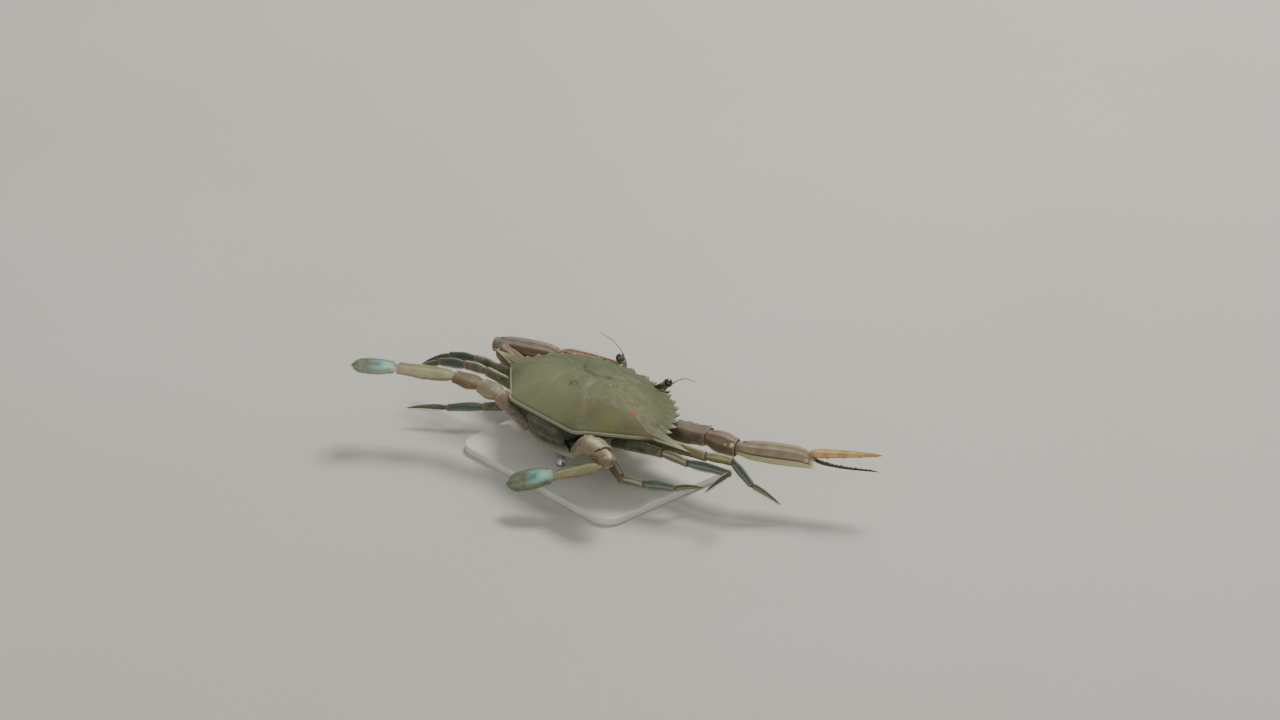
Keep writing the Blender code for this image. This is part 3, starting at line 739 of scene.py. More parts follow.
def shield_rings(edge, base):
    """Rings of the shield's top from its crown to its rim: (points, ridge, along, pale)."""
    stand_out = np.linalg.norm(edge - base, axis=1) / TOOTH_REACH
    hind = smooth_step(-edge[:, 1], -0.40, -0.30)
    rings = []
    for share in np.concatenate([np.linspace(0.02, 0.90, 58), np.linspace(0.91, 1.0, 19)]):
        spread = smooth_step(share, 0.90, 1.0) * 0.15 + 0.85 * max(0, (share - 0.93) / 0.07)
        outline = base * (1 - spread) + edge * spread
        x, y = (SHIELD_CENTRE + (outline - SHIELD_CENTRE) * share).T
        relief, ridge = shield_relief(x, y)
        fade = 1 - smooth_step(share, 0.86, 0.97)
        notch = (1 - np.clip(stand_out, 0, 1)) * bell(share, 0.95, 0.035) * (y > 0.52)
        bead = bell(share, 0.992, 0.006) * hind
        gutter = bell(share, 0.972, 0.010) * hind
        dome = DOME_HEIGHT * (1 - share**SHIELD_POWER) - RIM_DROP * x * x
        height = dome + relief * fade + 0.006 * (bead - notch - gutter)
        tooth = smooth_step(stand_out, 0.5, 1.1) * smooth_step(share, 0.965, 0.99)
        points = np.column_stack([x, y, height])
        rings.append((points, np.maximum(ridge * fade, bead), share, bead * 0.55 + tooth * 0.65))
    for share, drop in ((1.004, 0.2), (1.0, 0.5), (0.994, 0.8), (0.985, 1.0)):
        x, y = (SHIELD_CENTRE + (edge - SHIELD_CENTRE) * share).T
        thin = 1 - 0.55 * smooth_step(y, 0.42, 0.60)
        points = np.column_stack([x, y, -RIM_DROP * x * x - RIM_THICKNESS * drop * thin])
        rings.append((points, 0.0, 1.06, hind * 0.6 * (drop < 0.3)))
    return rings


def build_carapace(material):
    """The shield with its toothed rim, and the flanks that run down under it to the breast plate."""
    half = rounded(half_rim(), 3)
    rim = np.concatenate([half, half[::-1][1:-1] * (-1, 1, -1, 1, 1)])
    edge, base = rim[:, 0:2], rim[:, 2:4]
    rings = shield_rings(edge, base)
    for wide, rear, front, height, toothed in FLANKS:
        outline = base * (1 - toothed) + edge * toothed
        level = np.full(len(outline), height)
        y = rear + (front - rear) * outline[:, 1]
        rings.append((np.column_stack([outline[:, 0] * wide, y, level]), 0.0, 1.3, 0.0))
    points = np.array([ring[0] for ring in rings])
    ridge, along, pale = (
        np.array([np.broadcast_to(ring[i], len(rim)) for ring in rings]) for i in (1, 2, 3)
    )
    values = {"ridge": ridge, "along": along, "pale": pale}
    # Here the value named joint marks the hind part, where the flanks get painted shade.
    values["joint"] = smooth_step(-points[:, :, 1], -0.45, -0.15)
    build_tube("carapace_shell", place(points), material, "olive_shell", "carapace", **values)


def carapace_material():
    nodes = Nodes("carapace_olive")
    nodes.colour = nodes.mix(nodes.clouds(17 * MM, 4.0, 0.36, 0.64), OLIVE, OLIVE_LIGHT)
    nodes.wash(nodes.range(nodes.noise(9 * MM, 6.0, 0.65), 0.50, 0.72, 0.0, 0.5), OLIVE_DARK)
    brown = nodes.noise(13 * MM, 3.0, 0.5, (1.0, 1.6, 1.0))
    nodes.wash(nodes.range(brown, 0.50, 0.68, 0.0, 0.42), paint(124, 116, 88))
    # The shield's own colour patches, with painted light on the hind slope, the left side and the right
    # front.
    for spot, radius, most, tint in SHIELD_TINTS_AND_PAINTED_LIGHT:
        nodes.wash(nodes.near(spot, radius * MM), tint, most)
    nodes.wash(nodes.clouds(0.9 * MM, 2.0, 0.62, 0.74, 0.4), OLIVE_LIGHT)
    nodes.wash(nodes.value("ridge"), paint(160, 158, 120), 0.35)
    spine = nodes.math("MAXIMUM", *(nodes.near(spot, 13 * MM) for spot in SPINES))
    nodes.wash(spine, paint(166, 158, 98), 0.65)

    scar = nodes.times(nodes.near(SCAR, 3.8 * MM), nodes.clouds(2 * MM, 3.0, 0.40, 0.55))
    nodes.wash(scar, paint(40, 66, 44), 0.8)
    ring = nodes.math("SUBTRACT", nodes.near(RING_MARK, 3.2 * MM), nodes.near(RING_MARK, 1.6 * MM))
    nodes.wash(nodes.range(ring, 0.10, 0.6, 0.0, 0.7), paint(176, 98, 68))
    flecks = nodes.range(nodes.noise(1.7 * MM, 1.0, 0.4, (0.5, 1.6, 1.0)), 0.68, 0.74)
    nodes.wash(nodes.times(flecks, nodes.near(FLECKS, 15 * MM)), paint(196, 196, 160), 0.7)

    # Painted shade: the rim's side wall darkened under the shield's edge.
    nodes.wash(nodes.range(nodes.value("along"), 1.0, 1.04), paint(62, 66, 52), 0.85)
    nodes.wash(nodes.value("pale"), CREAM)
    under = nodes.mix(nodes.clouds(4 * MM, 3.0, 0.4, 0.7), paint(176, 170, 142), paint(138, 136, 112))
    # Painted shade: the flanks darkened towards the back, under the hind edge of the shield.
    under = nodes.mix(nodes.value("joint"), under, paint(66, 70, 58))
    nodes.wash(nodes.range(nodes.value("along"), 1.12, 1.28), under)
    grains = nodes.times(nodes.grains(0.7 * MM), nodes.range(nodes.noise(11 * MM), 0.35, 0.65, 0.2, 0.9))
    height = nodes.math("ADD", grains, nodes.times(nodes.noise(3 * MM, 5.0), 1.2))
    return nodes.finish(height, 0.085 * MM, 0.58, specular=0.25)


# ---------------------------------------------------------------- underside

THORAX_POWER = 3
# Where its seams start on the middle line, and its rings: (size, height), as shares of its half sizes.
THORAX_SEAMS = (-0.62, -0.28, 0.02, 0.30, 0.56)
THORAX_PROFILE = (
    (0.30, 1.0), (0.80, 1.0), (0.97, 0.97), (1.0, 0.85), (1.0, 0.3), (1.0, -0.1), (0.985, -0.40),
    (0.93, -0.68), (0.87, -0.86), (0.80, -0.97), (0.70, -1.0),
)
# The tail flap's middle line, in units: (y, z, half width, way its outer face points in y and z).
FLAP = (
    (0.014, -0.030, 0.190, -1.0, 0.1),
    (0.020, -0.120, 0.200, -1.0, -0.1),
    (0.038, -0.195, 0.210, -1.0, -0.3),
    (0.072, -0.275, 0.230, -0.9, -0.5),
    (0.140, -0.342, 0.250, -0.4, -1.0),
    (0.260, -0.349, 0.260, 0.0, -1.0),
    (0.400, -0.348, 0.220, 0.0, -1.0),
    (0.500, -0.346, 0.140, 0.0, -1.0),
    (0.560, -0.345, 0.070, 0.0, -1.0),
    (0.650, -0.344, 0.020, 0.0, -1.0),
)
FLAP_THICKNESS = 0.014
# Where its rings meet, counted in rows of the middle line.
FLAP_SEAMS = (0, 1.1, 2.15, 3.1, 4.2, 5.4, 6.5, 9)
# The plates over the mouth, on a frame that starts at their upper edge on the middle line:
# (across from the middle line, down the plate), in units.
MOUTH_TOP = np.array((0.0, 0.962, -0.098))
MOUTH_DOWN = np.array((0.0, -0.452, -0.892))
MOUTH_OUT = np.array((0.0, 0.892, -0.452))
LOWER_PLATE = (
    (0.005, 0.104), (0.055, 0.108), (0.100, 0.100), (0.106, 0.125), (0.098, 0.200), (0.084, 0.250),
    (0.030, 0.254), (0.005, 0.240),
)
UPPER_PLATE = (
    (0.006, 0.022), (0.050, 0.000), (0.108, -0.006), (0.134, 0.012), (0.130, 0.050), (0.106, 0.092),
    (0.055, 0.101), (0.006, 0.096),
)
OUTER_ROD = (
    (0.112, 0.094), (0.138, 0.098), (0.142, 0.150), (0.134, 0.215), (0.116, 0.254), (0.092, 0.254),
    (0.106, 0.205), (0.112, 0.140),
)
# The palp's middle line on the plates: (across, down, out from them, half thickness).
PALP = (
    (0.074, 0.010, 0.000, 0.006),
    (0.052, 0.012, 0.010, 0.013),
    (0.030, 0.026, 0.014, 0.013),
    (0.022, 0.060, 0.013, 0.011),
    (0.022, 0.096, 0.011, 0.008),
    (0.026, 0.122, 0.009, 0.003),
)
# The bar on each side of the mouth: (down, half thickness), and how far across it stands.
FRAME_BAR = ((0.004, 0.008), (0.040, 0.012), (0.090, 0.010), (0.128, 0.004))
FRAME_ACROSS = 0.153
# The cheek below each eye: (x, how far forward its lip stands, the lip's height, how far down the
# cheek runs), in units.
CHEEK = (
    (0.140, 0.942, -0.118, 0.088),
    (0.205, 0.952, -0.110, 0.092),
    (0.260, 0.948, -0.100, 0.092),
    (0.320, 0.932, -0.088, 0.082),
    (0.375, 0.906, -0.077, 0.066),
    (0.440, 0.864, -0.067, 0.048),
    (0.500, 0.818, -0.060, 0.036),
    (0.570, 0.760, -0.055, 0.024),
)
CHEEK_DEPTH = 0.095
CHEEK_TEETH = 10
# The small folded feeler: its stout base and its two lashes; (x, y, z, half thickness).
ANTENNULE = (
    ((0.036, 0.925, -0.080, 0.016), (0.058, 0.955, -0.076, 0.022), (0.080, 0.972, -0.074, 0.019),
     (0.096, 0.972, -0.074, 0.009)),
    ((0.090, 0.975, -0.072, 0.007), (0.076, 0.994, -0.058, 0.005), (0.050, 0.996, -0.056, 0.004),
     (0.030, 0.988, -0.068, 0.002)),
    ((0.086, 0.972, -0.078, 0.006), (0.066, 0.992, -0.080, 0.004), (0.044, 0.990, -0.084, 0.002)),
)


def pale_material():
    """Ivory below, with painted shade in olive grey where it faces up or back under the shield; on the tail
    flap's first rings this olive is partly their own colour.
    """
    nodes = Nodes("underside_ivory")
    ivory, ivory_dark = paint(214, 208, 182), paint(186, 182, 156)
    nodes.colour = nodes.mix(nodes.clouds(7 * MM, 4.0, 0.35, 0.7), ivory, ivory_dark)
    nodes.wash(nodes.clouds(10 * MM, 3.0, 0.58, 0.72, 0.5), paint(150, 166, 168))
    olive = nodes.mix(nodes.clouds(4 * MM, 4.0, 0.35, 0.65), paint(98, 98, 76), paint(66, 70, 60))
    # Painted shade under the back of the shield; on the tail flap's first rings, partly their own olive.
    nodes.wash(nodes.value("along"), olive)
    nodes.wash(nodes.value("joint"), paint(96, 86, 68), 0.7)
    nodes.wash(nodes.value("ridge"), WHITE, 0.6)
    nodes.wash(nodes.value("pale"), WHITE)
    height = nodes.math("ADD", nodes.noise(2 * MM, 5.0), nodes.times(nodes.grains(0.8 * MM), 0.3))
    return nodes.finish(height, 0.12 * MM, 0.48)


def build_thorax(material):
    """The breast plate, with the seams between its plates running out to the limbs."""
    low, high = (np.array(corner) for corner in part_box("thorax"))
    middle, half = (low + high) / 2, (high - low) / 2
    _, cosine, sine = oval(160, THORAX_POWER)
    floor = [(size, -1.0) for size in np.linspace(0.64, 0.03, 24)]
    rows, seams, hind_olive_and_shade = [], [], []
    for size, height in [*THORAX_PROFILE, *floor]:
        x, y = cosine * size * half[0], sine * size * half[1]
        seam = np.zeros(len(x))
        for start in THORAX_SEAMS if height <= -0.1 else ():
            line = start * half[1] + 0.22 * np.abs(x) * (1 if start > 0 else -1)
            here = bell(y, line, 0.55 * MM) * smooth_step(np.abs(x), 2 * MM, 6 * MM)
            seam = np.maximum(seam, here)
        rows.append(np.column_stack([x, y, height * half[2] + 0.35 * MM * seam]) + middle)
        seams.append(seam)
        # Painted shade: olive grey towards the back and top of the breast plate, under the shield.
        hind_olive_and_shade.append(smooth_step(-y / half[1], 0.35, 0.8) * smooth_step(height, -1.0, 0.2))
    values = {"joint": seams, "along": hind_olive_and_shade}
    build_tube("thorax_plates", rows, material, "pale_underside", "thorax", **values)


def flap_relief(across, ring, way):
    """How far a ring of the tail flap stands out, from its root (0) to where it laps the next (1)."""
    lap = way * (1 - smooth_step(way, 0.90, 1.0))
    beads = 0.75 + 0.25 * np.cos(across * 46 + ring * 2.4)
    ridge = 0.20 * bell(way, 0.52, 0.12) * beads * (1 - across**4)
    middle = 0.40 * bell(across, 0, 0.30) - 0.30 * bell(np.abs(across), 0.64, 0.05)
    return FLAP_THICKNESS * (0.50 + 0.60 * lap + ridge + middle - 0.40 * across**2)


def build_abdomen(material, coat):
    """The broad tail flap, folded under; each ring laps the next, with a ridge and a raised middle."""
    spots = np.linspace(0, len(FLAP) - 1, 300)
    across = np.concatenate([np.linspace(-1, 1, 50), np.linspace(1, -1, 20)])
    outer = np.repeat((1.0, 0.0), (50, 20))
    rows, seams, hind_olive_and_shade, ridges = [], [], [], []
    for spot, (y, z, width, out_y, out_z) in zip(spots, along_table(FLAP, spots)):
        out = unit_vector((0, out_y, out_z))
        ring = min(int(np.searchsorted(FLAP_SEAMS, spot, side="right")) - 1, len(FLAP_SEAMS) - 2)
        way = (spot - FLAP_SEAMS[ring]) / (FLAP_SEAMS[ring + 1] - FLAP_SEAMS[ring])
        curl = 0.030 * np.abs(across) ** 4 * smooth_step(width, 0.05, 0.20)
        lift = np.where(outer > 0, flap_relief(across, ring, way), -0.4 * FLAP_THICKNESS) - curl
        wide = width * (1 - 0.085 * abs(2 * way - 1) ** 3)
        rows.append(place(np.outer(across, (wide, 0, 0)) + (0, y, z) + np.outer(lift, out)))
        seams.append(0.8 * max(bell(way, 0, 0.05), bell(way, 1, 0.05)))
        ridges.append(0.15 * outer * bell(way, 0.52, 0.12) * (1 - across**4))
        # Olive on the first rings: partly their own colour, partly painted shade.
        hind_olive_and_shade.append(1 - smooth_step(spot, 2.2, 3.6))
    for column in (0, 49):
        side = [row[column] for row in rows[8:150:6]]
        coat.row(side, side[0] - rows[8][49 - column], 0.6 * MM, 1.6)
    values = {"joint": seams, "along": hind_olive_and_shade, "ridge": ridges}
    build_tube("abdomen_flap", rows, material, "pale_underside", "abdomen", **values)


def on_mouth(across, down, out, sign):
    """Places given across, down and out from the plates over the mouth."""
    steps = np.stack(np.broadcast_arrays(across, down, out), axis=-1)
    return place(MOUTH_TOP + steps @ np.array(((sign, 0, 0), MOUTH_DOWN, MOUTH_OUT)))


def closed_curve(corners):
    """Evenly spaced points round an outline with straight sides and rounded corners."""
    points = np.array(corners)
    for share in (0.14, 0.25, 0.25):
        after = np.roll(points, -1, axis=0)
        near, far = (1 - share) * points + share * after, share * points + (1 - share) * after
        points = np.stack([near, far], axis=1).reshape(-1, 2)
    loop = np.vstack([points, points[:1]])
    along = np.concatenate([[0], np.cumsum(np.linalg.norm(np.diff(loop, axis=0), axis=1))])
    spots = np.linspace(0, along[-1], 96, endpoint=False)
    return np.column_stack([np.interp(spots, along, column) for column in loop.T])


def add_plate(shape, sign, corners, dome, groove=None):
    """A crowned plate over the mouth with a thin raised rim, and a groove down it where one is given."""
    outline = closed_curve(corners)
    middle = outline.mean(axis=0)
    profile = [(share, dome * (1 - share**4)) for share in np.linspace(0.03, 1.0, 26)]
    profile += [(1.0, -0.01), (0.96, -0.02), (0.10, -0.02)]
    rows, seams, rims = [], [], []
    for share, height in profile:
        across, down = (middle + (outline - middle) * share).T
        rim = bell(share, 0.90, 0.035) if height > 0 else 0.0
        seam = np.zeros(len(across))
        if groove and height > 0:
            seam = bell(across, groove, 0.005) * (1 - share**6)
        rows.append(on_mouth(across, down, height + dome * (0.16 * rim - 0.35 * seam), sign))
        edge = smooth_step(share, 0.97, 1.0) * 0.7 if height < 0.5 * dome else 0.0
        seams.append(np.maximum(seam * 0.5, edge))
        rims.append(rim)
    shape.tube(rows, joint=seams, ridge=rims)


def build_maxilliped(side, sign, material, coat):
    """One of the two leaves over the mouth: its plates, the rod beside them and the jointed palp."""
    shape = Shape()
    add_plate(shape, sign, LOWER_PLATE, 0.010, 0.062)
    add_plate(shape, sign, UPPER_PLATE, 0.009)
    add_plate(shape, sign, OUTER_ROD, 0.011)
    palp = [on_mouth(across, down, out, sign) for across, down, out, _ in PALP]
    shape.rod(palp, [size * UNIT for *_, size in PALP], ridge=0.3)
    shape.build(f"maxilliped_{side}_plates", material, "pale_underside", f"maxilliped_{side}")
    inner = on_mouth(0.006, (0.11, 0.17, 0.236), 0.006, sign)
    coat.row(inner, MOUTH_OUT - (0.9 * sign, 0, 0) + 0.5 * MOUTH_DOWN, 1.1 * MM, 1.6)
    upper = on_mouth((0.030, 0.080, 0.128), (0.008, -0.004, 0.004), 0.002, sign)
    coat.row(upper, MOUTH_OUT - 0.8 * MOUTH_DOWN, 0.8 * MM, 1.2)
    coat.row(palp[3:], MOUTH_OUT + MOUTH_DOWN, 0.9 * MM, 2.0)


def cheek_section(lip, height, down, tooth, whole):
    """(y, z, pale, share of the way down) round the cheek's section, drawn in where it isn't whole."""
    fall = down - 0.018
    section = (
        (0.0, 0.014, 0.0, 0.0),
        (CHEEK_DEPTH - 0.030, 0.010, 0.0, 0.0),
        (CHEEK_DEPTH + tooth, 0.005, 0.5, 0.0),
        (CHEEK_DEPTH + tooth, -0.005, 0.3, 0.1),
        (CHEEK_DEPTH - 0.016, -0.018, 0.0, 0.3),
        (CHEEK_DEPTH - 0.018, -0.018 - 0.35 * fall, 0.0, 0.6),
        (CHEEK_DEPTH - 0.028, -0.018 - 0.70 * fall, 0.0, 0.8),
        (CHEEK_DEPTH - 0.048, -down, 0.1, 1.0),
        (CHEEK_DEPTH - 0.080, -down - 0.004, 0.0, 1.0),
        (0.0, -0.5 * down, 0.0, 1.0),
    )
    return np.array(section) * (whole, whole, 1, 1) + (lip - CHEEK_DEPTH, height, 0, 0)


def build_face(side, sign, material, coat):
    """The cheek with its toothed edge below the eye, and the small folded feeler."""
    turn = (sign, 1.0, 1.0)
    line = smoothed(along_table(CHEEK, np.linspace(0, len(CHEEK) - 1, 110)), 10)
    rows, pales, shares = [], [], []
    for i, (x, lip, height, down) in enumerate(line):
        way = i / (len(line) - 1)
        tooth = 0.009 * abs(math.sin(math.pi * CHEEK_TEETH * way)) * (0.12 < way < 0.9)
        whole = 1 - 0.96 * smooth_step(way, 0.70, 1.0)
        y, z, pale, share = cheek_section(lip, height, down, tooth, whole).T
        rows.append(place(np.column_stack([np.full(len(y), x), y, z]) * turn))
        pales.append(pale)
        shares.append(share)
    shape = Shape()
    shape.tube(rows, pale=pales, along=shares)
    corner = place(line[36][:3] * turn)
    shape.spike(corner, (0.25 * sign, 1.0, 0.2), 0.035 * UNIT, 0.011 * UNIT, pale=0.6)
    shape.build(f"orbit_{side}_lower_rim", material, "olive_shell")
    coat.row([row[7] for row in rows[4:80:6]], (0.0, 0.5, -1.0), 0.9 * MM, 1.5)

    shape = Shape()
    for route in ANTENNULE:
        points = place([np.multiply(point[:3], turn) for point in route])
        shape.rod(points, [point[3] * UNIT for point in route], joint=0.2)
    shape.build(f"antennule_{side}", material, "olive_shell")


def build_epistome(material):
    """The frame round the mouth: the ridge over it and a bar down each side."""
    rows = []
    for x in np.linspace(-0.14, 0.14, 60):
        lip = 0.945 - 0.5 * x * x + 0.008 * math.cos(x * 60)
        y = (0.86, lip - 0.03, lip, lip - 0.01, 0.86)
        z = (-0.040, -0.078, -0.090, -0.104, -0.120)
        rows.append(place(np.column_stack([np.full(5, x), y, z])))
    shape = Shape()
    shape.tube(rows)
    for sign in (-1, 1):
        route = [on_mouth(FRAME_ACROSS, down, -0.009, sign) for down, _ in FRAME_BAR]
        shape.rod(route, [size * UNIT for _, size in FRAME_BAR], ridge=0.3)
    shape.build("mouth_frame", material, "pale_underside")


# ---------------------------------------------------------------- eyes and feelers

HOOD_UP = (0.0, -0.35, 1.0)
HOOD_SIZE = 1.07
EYE_FLATNESS = 0.94
# The long feeler's middle line: (x, y, z, thickness).
FEELER = (
    (0.172, 0.945, -0.118, 2.8),
    (0.190, 1.010, -0.115, 2.4),
    (0.240, 1.085, -0.050, 1.0),
    (0.310, 1.105, 0.020, 0.9),
    (0.410, 1.100, 0.080, 0.8),
    (0.530, 1.080, 0.105, 0.8),
)
FEELER_RADIUS = 0.0052
FEELER_RINGS = 150


def eye_material():
    nodes = Nodes("eye_black")
    nodes.colour = nodes.mix(nodes.clouds(1.5 * MM, 3.0, 0.4, 0.6), srgb(20, 16, 12), srgb(44, 32, 20))
    return nodes.finish(nodes.grains(0.16 * MM, 0.2), 0.02 * MM, 0.16, coat=0.6)


def build_eye(side, stalk_material, globe_material):
    """A ribbed stalk that widens into a hood over the back of a glossy, oval eye."""
    stalk, globe = Solid(f"eyestalk_{side}"), Solid(f"eye_{side}")
    centre = globe.middle
    radius = np.linalg.norm(globe.points - centre, axis=1).max()
    end = stalk.nearest_to(globe, 8).mean(axis=0)
    start = stalk.middle_of(-np.linalg.norm(stalk.points - centre, axis=1), 8)
    bend = stalk.middle_of(np.linalg.norm(stalk.points - (start + end) / 2, axis=1), 8)
    angles = turns(32)
    rows, joints = [], []
    for share in np.linspace(0, 1, 30):
        middle = start * (1 - share) ** 2 + 2 * bend * share * (1 - share) + end * share**2
        way = unit_vector(2 * (1 - share) * (bend - start) + 2 * share * (end - bend))
        size = radius * (0.56 + 0.24 * share**2 - 0.10 * bell(share, 0.45, 0.05))
        rows.append(middle + circle(way, angles) * size)
        joints.append(bell(share, 0.45, 0.06))
    shape = Shape()
    shape.tube(rows, joint=joints)

    way = unit_vector(centre - end)
    ring = circle(way, angles, HOOD_UP)
    rows, pales = [], []
    reaches = np.linspace(0.15, 1.0, 16)
    for reach, size in [*((r, HOOD_SIZE) for r in reaches), *((r, 1.0) for r in reaches[::-1])]:
        turn = reach * (0.38 + 0.07 * np.sin(angles)) * math.pi
        rows.append(centre + (ring * np.sin(turn) * 0.98 - way * np.cos(turn)) * radius * size)
        pales.append(0.4 * bell(reach, 1.0, 0.08))
    shape.tube(rows, pale=pales)
    shape.build(f"eyestalk_{side}_shell", stalk_material, "olive_shell", f"eyestalk_{side}")

    ring = circle(way, angles, HOOD_UP, EYE_FLATNESS)
    polar = np.linspace(0.05, math.pi - 0.05, 34)
    rows = [centre + (ring * math.sin(turn) - way * math.cos(turn)) * radius for turn in polar]
    build_tube(f"eye_{side}_cornea", rows, globe_material, "eye", f"eye_{side}")


def build_antenna(side, sign, material):
    """Three stout base joints that run out into a whip of many short rings."""
    route = smoothed(along_table(FEELER, np.linspace(0, len(FEELER) - 1, FEELER_RINGS)), 60)
    points = place(route[:, :3] * (sign, 1, 1))
    angles = turns(12)
    rows, joints = [], []
    for i, (point, way, size) in enumerate(zip(points, np.gradient(points, axis=0), route[:, 3])):
        ringed = 0.10 * math.sin(i * math.pi / 2) if size < 1.3 else -0.12 * bell(i % 13, 6, 1.2)
        radius = size * FEELER_RADIUS * UNIT * (1 + ringed) * (1 - 0.45 * i / FEELER_RINGS)
        rows.append(point + circle(unit_vector(way), angles) * radius)
        joints.append(min(max(0.0, -ringed * 6), 1.0))
    build_tube(f"antenna_{side}_whip", rows, material, "leg_shell", f"antenna_{side}", joint=joints)


# ---------------------------------------------------------------- legs


def base_waist(share):
    """Narrows the root segment between its two joints and widens it towards its end."""
    waist = 0.14 * bell(share, 0.40, 0.07) + 0.05 * bell(share, 0.62, 0.05)
    return 1 - waist + 0.05 * bell(share, 0.82, 0.12)


def paddle_spread(share):
    """Widens the outer half of the paddle into a rounder blade."""
    return 1 + 0.16 * bell(share, 0.84, 0.15)


WALKING_LOOKS = {
    "merus": {
        "ridges": ((0, 18, 0.25, 46), (180, 18, 0.15, 0), (60, 26, -0.22, 0)),
        "rings": ((0.07, 0.16), (0.20, 0.20)),
        "ball": 0.85, "neck": 0.05, "lip": 0.05, "bow": 0.025,
    },
    "carpus": {
        "ridges": ((8, 18, 0.28, 12), (70, 20, 0.15, 0), (110, 24, -0.18, 0)),
        "neck": 0.30, "lip": 0.06, "bow": 0.03,
    },
    "propodus": {
        "ridges": ((0, 14, 0.24, 0), (90, 18, 0.12, 0), (45, 22, -0.20, 0), (180, 18, 0.2, 0)),
        "neck": 0.25, "bow": 0.02,
    },
    "dactyl": {
        "ridges": ((0, 14, 0.16, 0), (90, 14, 0.10, 0), (45, 20, -0.15, 0), (135, 20, -0.15, 0)),
        "neck": 0.20, "power": 1.9, "bow": 0.035, "tip": True,
    },
}
SWIMMING_LOOKS = {
    "base": {
        "ridges": ((0, 16, 0.25, 0), (180, 16, 0.25, 0), (50, 22, -0.2, 0)),
        "rings": ((0.40, 0.10), (0.62, 0.07)),
        "ball": 0.95, "neck": 0.1, "power": 2.4, "spread": base_waist, "lip": 0.05, "lip_pale": 0.5,
    },
    "merus": {
        "ridges": ((0, 22, 0.35, 0), (180, 24, 0.3, 0), (90, 20, 0.2, 0), (45, 22, -0.25, 0)),
        "ball": 0.80, "neck": 0.35, "power": 2.3, "around": 48, "lip": 0.05, "lip_pale": 0.35,
    },
    "carpus": {
        "ridges": ((0, 20, 0.4, 0), (60, 20, 0.3, 0), (110, 20, -0.25, 0), (300, 20, -0.25, 0)),
        "ball": 0.76, "neck": 0.40, "power": 2.3, "around": 48, "lip": 0.05, "lip_pale": 0.35,
    },
    "propodus": {
        "ridges": ((90, 10, 0.25, 0), (270, 10, 0.25, 0), (60, 14, -0.2, 0), (35, 10, 0.14, 0)),
        "ball": 0.62, "neck": 0.20, "power": 2.0, "around": 60, "lip": 0.06,
    },
    "paddle": {
        "ridges": (
            (90, 8, 0.32, 0), (270, 8, 0.32, 0), (0, 5, 0.12, 0), (180, 5, 0.12, 0),
            (60, 9, -0.15, 0), (120, 9, -0.15, 0),
        ),
        "ball": 0.45, "neck": 0.14, "power": 2.0, "around": 72, "spread": paddle_spread, "tip": True,
    },
}


def leg(name, looks, body, materials, coat, clear, pivots, fringe):
    """A leg's segments, with bristles along both edges of its last two."""
    solids = [Solid(f"{name}_{part}") for part in looks]
    joints = limb_joints(solids, body, 8)
    for i, (part, look) in enumerate(looks.items()):
        is_tip = "tip" in look
        axis = Axis(solids[i], joints[i], joints[i + 1], clear=clear, tip=is_tip)
        shape = Shape()
        add_segment(shape, axis, bent_look(look, joints, i))
        if not is_tip:
            add_pivots(shape, axis, **pivots)
        shape.build(f"{name}_{part}_shell", materials[part], "leg_shell", f"{name}_{part}")
        if part == "propodus" or is_tip:
            for edge in (0, 180):
                coat.fringe(axis, edge, *fringe, look.get("spread"))


def walking_leg(name, body, materials, coat):
    leg(name, WALKING_LOOKS, body, materials, coat, 0.13, {}, (0.10, 0.93, 0.9 * MM, 1.0))


def swimming_leg(name, body, materials, coat):
    pivots, fringe = {"size": 0.24, "pale": 0.45}, (0.08, 0.97, 1.3 * MM, 1.6)
    leg(name, SWIMMING_LOOKS, body, materials, coat, 0.16, pivots, fringe)


# ---------------------------------------------------------------- claws


FINGER_TOOTH = 0.8 * MM


def finger_teeth(start, count):
    """Rounded cutting teeth from the finger's root to its tip, every third one bigger."""

    def teeth(share):
        if not start < share < TIP_SHARE:
            return 0.0
        way = (share - start) / (1 - start)
        tooth = way * count
        size = (1.0 if int(tooth) % 3 == 1 else 0.55) * (1 - 0.6 * way)
        return FINGER_TOOTH * size * abs(math.sin(math.pi * tooth)) ** 0.7

    return teeth


CLAW_LOOKS = {
    "base": {"ball": 0.95, "neck": 0.1, "rings": ((0.5, 0.10),)},
    "merus": {
        "ridges": (
            (45, 11, 0.4, 30), (135, 12, 0.35, 24), (315, 11, 0.35, 26), (225, 14, 0.3, 0),
            (0, 26, -0.25, 0),
        ),
        "ball": 0.86, "neck": 0.14, "power": 2.6, "around": 56, "lip": 0.02,
    },
    "carpus": {
        "ridges": (
            (20, 9, 0.4, 12), (65, 9, 0.35, 12), (340, 9, 0.35, 11), (295, 11, 0.3, 9),
            (0, 10, -0.25, 0), (42, 10, -0.2, 0),
        ),
        "rings": ((0.90, 0.04),),
        "ball": 0.84, "neck": 0.40, "power": 2.5, "around": 56, "lip": 0.02,
    },
    "palm": {
        "ridges": (
            (12, 7, 0.42, 40), (50, 7, 0.36, 40), (88, 8, 0.30, 0), (140, 10, 0.20, 0),
            (220, 10, 0.20, 0), (272, 8, 0.30, 0), (310, 7, 0.36, 40), (348, 7, 0.42, 40),
            (31, 9, -0.22, 0), (329, 9, -0.22, 0), (69, 9, -0.20, 0), (291, 9, -0.20, 0),
        ),
        "teeth": ((0, finger_teeth(0.57, 13)),),
        "ball": 0.80, "neck": 0.10, "power": 2.4, "around": 80, "tip": True, "joint_reach": 1.0,
    },
    "dactyl": {
        "ridges": (
            (0, 10, 0.28, 0), (50, 10, 0.24, 0), (310, 10, 0.24, 0), (26, 10, -0.22, 0),
            (334, 10, -0.22, 0), (90, 12, -0.15, 0), (270, 12, -0.15, 0),
        ),
        "teeth": ((180, finger_teeth(0.10, 12)),),
        "ball": 0.72, "neck": 0.10, "power": 2.2, "around": 64, "step": 0.45, "tip": True,
    },
}
HINGE_SHARE = 0.485
THORN = {"along": 0.9, "ridge": 0.3, "pale": 0.3}


